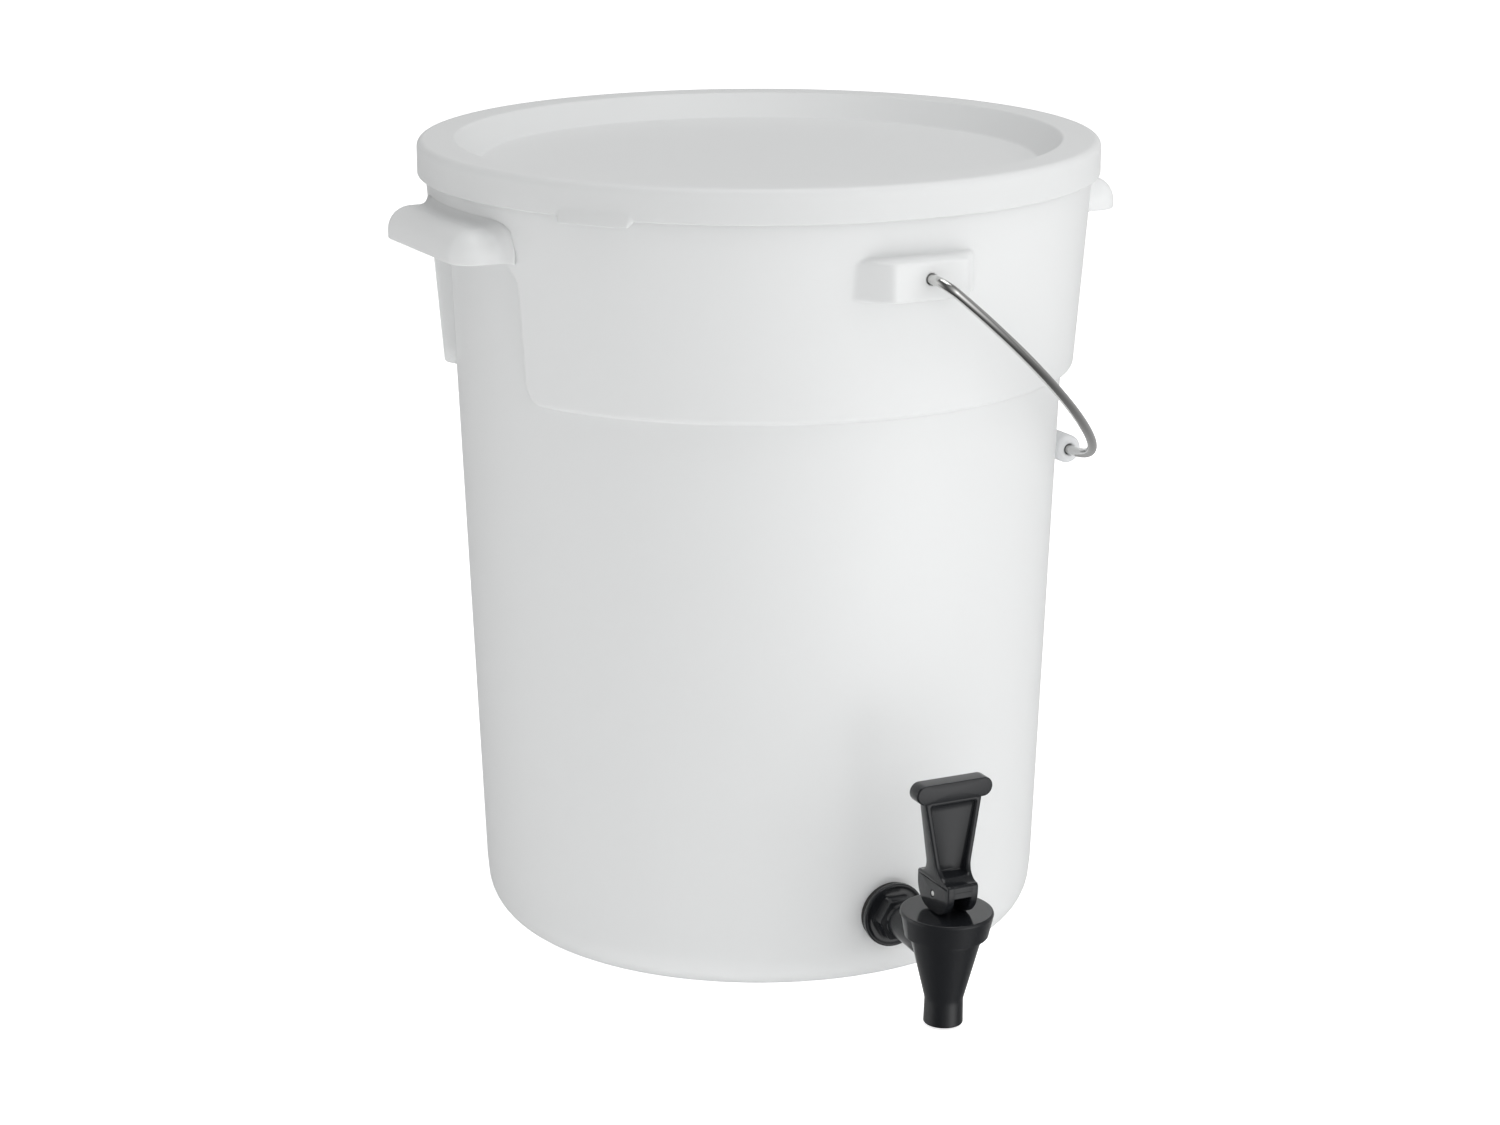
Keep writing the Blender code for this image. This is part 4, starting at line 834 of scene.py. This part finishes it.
def subdivided(outline, longest):
    # The closed outline with points added so that no stretch is longer than the given length.
    following = np.roll(outline, -1, axis=0)
    counts = np.ceil(np.linalg.norm(following - outline, axis=1) / longest).astype(int)
    shares = [np.linspace(0, 1, count, endpoint=False)[:, None] for count in counts]
    return np.concatenate([a + (b - a) * share
                           for a, b, share in zip(outline, following, shares)])


def cheekSurface(low, high):
    # A cam plate across X with a hole for the pin: the hole's circle, the rounded rims and the
    # outline as rings that close on themselves, all at the same angles about the pin.
    cam = camLine(26)
    deep = cam[-1, 0]
    side = cam[-1, 1]
    top = rounded([(deep, side), (deep, lever["blockTop"]), (-deep, lever["blockTop"]),
                   (-deep, side)], [1.2, 1.2], support=0.6)[1:-1]
    outline = subdivided(np.concatenate([cam, top, cam[::-1] * [-1, 1]]), 1.0)
    reach = np.linalg.norm(outline, axis=1, keepdims=True)
    rim = lever["edge"]
    rows = []
    for x, size in ((low, stem["pinHole"]), (low, stem["pinHole"] + 0.3)):
        rows.append(np.column_stack([np.full(len(outline), x), outline / reach * size]))
    turn = np.linspace(0, np.pi / 2, 5)
    for x, inset in [(low + rim * (1 - math.cos(a)), rim * (1 - math.sin(a))) for a in turn]:
        rows.append(np.column_stack([np.full(len(outline), x), outline * (1 - inset / reach)]))
    for x, inset in [(high - rim * (1 - math.cos(a)), rim * (1 - math.sin(a))) for a in turn[::-1]]:
        rows.append(np.column_stack([np.full(len(outline), x), outline * (1 - inset / reach)]))
    for x, size in ((high, stem["pinHole"] + 0.3), (high, stem["pinHole"])):
        rows.append(np.column_stack([np.full(len(outline), x), outline / reach * size]))
    return gridSurface(np.array(rows), wrapRows=True)


def paddleSurface():
    # An upright plate, ring by ring: its width and thickness change with height, its two broad
    # faces are sunk between ribs, and near the block the ribs sweep out to the block's corners.
    p = lever
    low, high = p["blockTop"] - 2, p["paddleTop"]
    sunkLow, sunkHigh = p["blockTop"] + 2.2, high - p["rib"]
    z = np.unique(np.concatenate([np.linspace(low, p["blockTop"], 3),
                                  p["blockTop"] + p["flare"] * (1 - np.cos(np.linspace(0, 1.57, 12))),
                                  np.linspace(sunkLow, sunkLow + 1.2, 5),
                                  np.linspace(sunkLow + 1.2, sunkHigh - 1.2, 12),
                                  np.linspace(sunkHigh - 1.2, sunkHigh, 5), [high]]))
    up = np.clip((z - p["blockTop"]) / (high - p["blockTop"]), 0, 1)
    width = (p["lowWidth"] + (p["highWidth"] - p["lowWidth"]) * up) / 2
    thick = (p["lowThick"] + (p["highThick"] - p["lowThick"]) * up) / 2
    rise = np.clip(z - p["blockTop"], 0, p["flare"])
    flare = p["flare"] - np.sqrt(p["flare"] ** 2 - (p["flare"] - rise) ** 2)
    sunk = smooth((z - sunkLow) / 1.2) * smooth((sunkHigh - z) / 1.2)
    ribThick = thick + np.where(z > p["blockTop"] - 0.01, flare, p["flare"])
    ribThick = np.minimum(ribThick, camLine(2)[-1, 0] - 0.5)
    webThick = ribThick * (1 - sunk) + p["web"] / 2 * sunk
    # points across one face, as (share of the half width, distance in from its edge, how sunk)
    e = 0.7
    line = [(0, 0.0), (e * 0.3, 0.0), (e, 0.0), (p["rib"] - 0.5, 0.0), (p["rib"] - 0.1, 0.12),
            (p["rib"] + 0.2, 0.6), (p["rib"] + 0.5, 0.92), (p["rib"] + 1.0, 1.0)]
    inset = np.array([v[0] for v in line])
    mask = np.array([v[1] for v in line])
    soften = np.array([e, e * 0.3, 0, 0, 0, 0, 0, 0])
    half = ribThick[:, None] - (ribThick - webThick)[:, None] * mask - soften
    x = width[:, None] - inset
    faceX = np.concatenate([x, np.zeros((len(z), 1)), -x[:, ::-1]], axis=1)
    faceY = np.concatenate([half, half[:, -1:], half[:, ::-1]], axis=1)
    loopX = np.concatenate([faceX, faceX[:, ::-1]], axis=1)
    loopY = np.concatenate([-faceY, faceY[:, ::-1]], axis=1)
    grid = np.stack([loopX, loopY, z[:, None] + 0 * loopX], axis=-1)
    grid[..., 2] += tap["pinHeight"]
    return gridSurface(grid, start=(0, 0, tap["pinHeight"] + low), end=(0, 0, tap["pinHeight"] + high))


def leverSurfaces():
    # Two cam plates, what joins them above, in front of and behind the stem, the ribbed paddle
    # and the bar across its top.
    p = lever
    pin = np.array([0, 0, tap["pinHeight"]])
    parts = [cheekSurface(-p["blockHalf"], -p["slotHalf"]), cheekSurface(p["slotHalf"], p["blockHalf"])]
    inner = p["slotHalf"] + 0.5
    cam = camLine(26)
    deep, high = cam[-1, 0] - p["within"], p["blockTop"] - p["within"]
    roof = rounded([(-deep, p["slotRoof"]), (deep, p["slotRoof"]), (deep, high), (-deep, high)],
                   [0.2, 0.2, 1.2, 1.2], closed=True)
    parts.append(slab(roof, -inner, inner, 0.05))
    lip = rounded([(-deep, p["slotTop"]), (-p["slotDeep"], p["slotTop"]), (-p["slotDeep"], 5),
                   (-deep, 5)], [0.4, 0.4, 0.2, 0.2], closed=True)
    parts.append(slab(lip, -inner, inner, 0.05))
    back = cam[cam[:, 0] > 4.5] - [p["within"], 0]
    back = np.concatenate([[[4.4, 5.5], [4.4, back[0, 1]]], back, [[deep, 5.5]]])
    parts.append(slab(back, -inner, inner, 0.05, centre=(8.5, 0)))
    bar = rounded([(-p["barHalf"], -p["barTall"]), (p["barHalf"], -p["barTall"]),
                   (p["barHalf"], p["barTall"]), (-p["barHalf"], p["barTall"])],
                  [p["barTall"] - 0.01] * 4, steps=12, support=1.0, closed=True)
    points, faces = slab(bar, -p["barThick"], p["barThick"], p["barEdge"])
    parts.append((points[:, [1, 0, 2]] + [0, 0, p["barHeight"]], faces))
    parts = [(points + pin, faces) for points, faces in parts] + [paddleSurface()]
    return [tapPlace(part) for part in parts]


addPiece("valveStem", stemSurfaces(), tapPlastic, "valve", ["tap_stem"])
springPiece = addPiece("valveSpring", [coilSurface()], springSteel, None, ["tap_spring"])
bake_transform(springPiece)
addPiece("leverPin", [pinSurface(lever["blockHalf"])], springSteel, "valve", ["tap_lever_pin"])
addPiece("tapLever", leverSurfaces(), tapPlastic, "lever", ["tap_lever"])

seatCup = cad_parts["tap_seat_cup"]
seatCup.data.materials.clear()
seatCup.data.materials.append(washerRubber)
print("carried over the seat cup")

studio = {
    "floorSize": 30.0, "backdrop": 1.0, "floorGlow": 0.4, "floorSeen": 0.4,
    # lobes of light: (azimuth, elevation, sharpness, strength)
    "fill": 0.25, "dome": [(0, 90, 1, 0.48), (63, 0, 1, 0.24), (-100, 0, 1, 0.12)],
    "shineFill": 0.1,
    "shine": [(20, 0, 3, 0.7), (27, -14, 12, 1.4), (153, 10, 1, 0.5), (-118, 0, 6, 1.1)],
}
softboxes = {
    # name: (azimuth, elevation, distance, width, height, power, seen by shiny surfaces)
    "right": (40, 22, 1.7, 1.0, 1.4, 5.5, False),
    "farRight": (85, 15, 1.7, 0.3, 1.4, 0.3, True),
    "front": (-5, 14, 2.4, 1.6, 1.0, 5.6, False),
    "leftStrip": (-118, 20, 1.6, 0.15, 1.3, 0.4, True),
    "top": (10, 78, 1.8, 1.4, 1.4, 10.0, True),
}


def studioFloor():
    size = studio["floorSize"] / 2
    mesh = bpy.data.meshes.new("floor")
    corners = [(-size, -size, 0), (size, -size, 0), (size, size, 0), (-size, size, 0)]
    mesh.from_pydata(corners, [], [(0, 1, 2, 3)])
    floor = bpy.data.objects.new("floor", mesh)
    floor.location.z = -0.0002
    floor.visible_glossy = False
    bpy.context.scene.collection.objects.link(floor)
    paper = bpy.data.materials.new("floorPaper")
    paper.use_nodes = True
    shader = paper.node_tree.nodes["Principled BSDF"]
    shader.inputs["Base Color"].default_value = (0.93, 0.93, 0.93, 1)
    shader.inputs["Roughness"].default_value = 0.9
    shader.inputs["Specular IOR Level"].default_value = 0.1
    shader.inputs["Emission Color"].default_value = (1, 1, 1, 1)
    # the camera sees the paper a little brighter than it lights the pail
    seen = paper.node_tree.nodes.new("ShaderNodeLightPath").outputs["Is Camera Ray"]
    extra = calculate(paper.node_tree, "MULTIPLY", seen, studio["floorSeen"])
    paper.node_tree.links.new(calculate(paper.node_tree, "ADD", extra, studio["floorGlow"]),
                              shader.inputs["Emission Strength"])
    mesh.materials.append(paper)


def studioLight(name, azimuth, elevation, distance, size, power, shows):
    # An area light on a sphere about the pail, in the same angles as the camera's.
    light = bpy.data.lights.new(name, "AREA")
    light.shape = "RECTANGLE"
    light.size, light.size_y = size
    light.energy = power
    item = bpy.data.objects.new(name, light)
    item.visible_glossy = shows
    bpy.context.scene.collection.objects.link(item)
    aimAt(item, azimuth, elevation, distance, (0, 0, 0.22))


def towards(azimuth, elevation):
    # The unit vector at an azimuth counted from -Y towards +X and an elevation, in degrees.
    a, e = math.radians(azimuth), math.radians(elevation)
    return (math.sin(a) * math.cos(e), -math.cos(a) * math.cos(e), math.sin(e))


def aimAt(item, azimuth, elevation, distance, target):
    item.location = np.array(target) + np.array(towards(azimuth, elevation)) * distance
    item.rotation_euler = (math.radians(90 - elevation), 0, math.radians(azimuth))


def lobes(tree, fill, shapes):
    # fill + the sum of strength x max(direction . way, 0) ^ sharpness over the given shapes.
    where = tree.nodes.new("ShaderNodeTexCoord").outputs["Generated"]
    strength = fill
    for azimuth, elevation, sharpness, share in shapes:
        along = tree.nodes.new("ShaderNodeVectorMath")
        along.operation = "DOT_PRODUCT"
        tree.links.new(where, along.inputs[0])
        along.inputs[1].default_value = towards(azimuth, elevation)
        facing = calculate(tree, "MAXIMUM", along.outputs["Value"], 0.0)
        part = calculate(tree, "MULTIPLY", calculate(tree, "POWER", facing, sharpness), share)
        strength = calculate(tree, "ADD", part, strength)
    return strength


def studioWorld():
    # White as the camera sees it; otherwise a soft dome, one for matt light and another, darker
    # on the camera's side, for what shiny surfaces reflect.
    world = bpy.data.worlds.new("studio")
    bpy.context.scene.world = world
    world.use_nodes = True
    tree = world.node_tree
    seen = tree.nodes["Background"]
    seen.inputs["Color"].default_value = (1, 1, 1, 1)
    seen.inputs["Strength"].default_value = studio["backdrop"]
    ray = tree.nodes.new("ShaderNodeLightPath")
    matt = tree.nodes.new("ShaderNodeBackground")
    tree.links.new(lobes(tree, studio["fill"], studio["dome"]), matt.inputs["Strength"])
    shiny = tree.nodes.new("ShaderNodeBackground")
    tree.links.new(lobes(tree, studio["shineFill"], studio["shine"]), shiny.inputs["Strength"])
    light = tree.nodes.new("ShaderNodeMixShader")
    tree.links.new(ray.outputs["Is Glossy Ray"], light.inputs[0])
    tree.links.new(matt.outputs[0], light.inputs[1])
    tree.links.new(shiny.outputs[0], light.inputs[2])
    mix = tree.nodes.new("ShaderNodeMixShader")
    tree.links.new(ray.outputs["Is Camera Ray"], mix.inputs[0])
    tree.links.new(light.outputs[0], mix.inputs[1])
    tree.links.new(seen.outputs[0], mix.inputs[2])
    tree.links.new(mix.outputs[0], tree.nodes["World Output"].inputs["Surface"])


def studioCamera():
    camera = bpy.data.cameras.new("camera")
    camera.lens = 91.3
    camera.sensor_width = 36
    camera.shift_x, camera.shift_y = -0.0059, -0.0207
    item = bpy.data.objects.new("camera", camera)
    bpy.context.scene.collection.objects.link(item)
    aimAt(item, -26.85, 14.44, 1.957, (0, 0, 0.2))
    bpy.context.scene.camera = item


studioFloor()
studioWorld()
studioCamera()
for lightName, (azimuth, elevation, distance, width, height, power, shows) in softboxes.items():
    studioLight(lightName, azimuth, elevation, distance, (width, height), power, shows)
bpy.context.scene.view_settings.view_transform = "Standard"
print("studio ready")
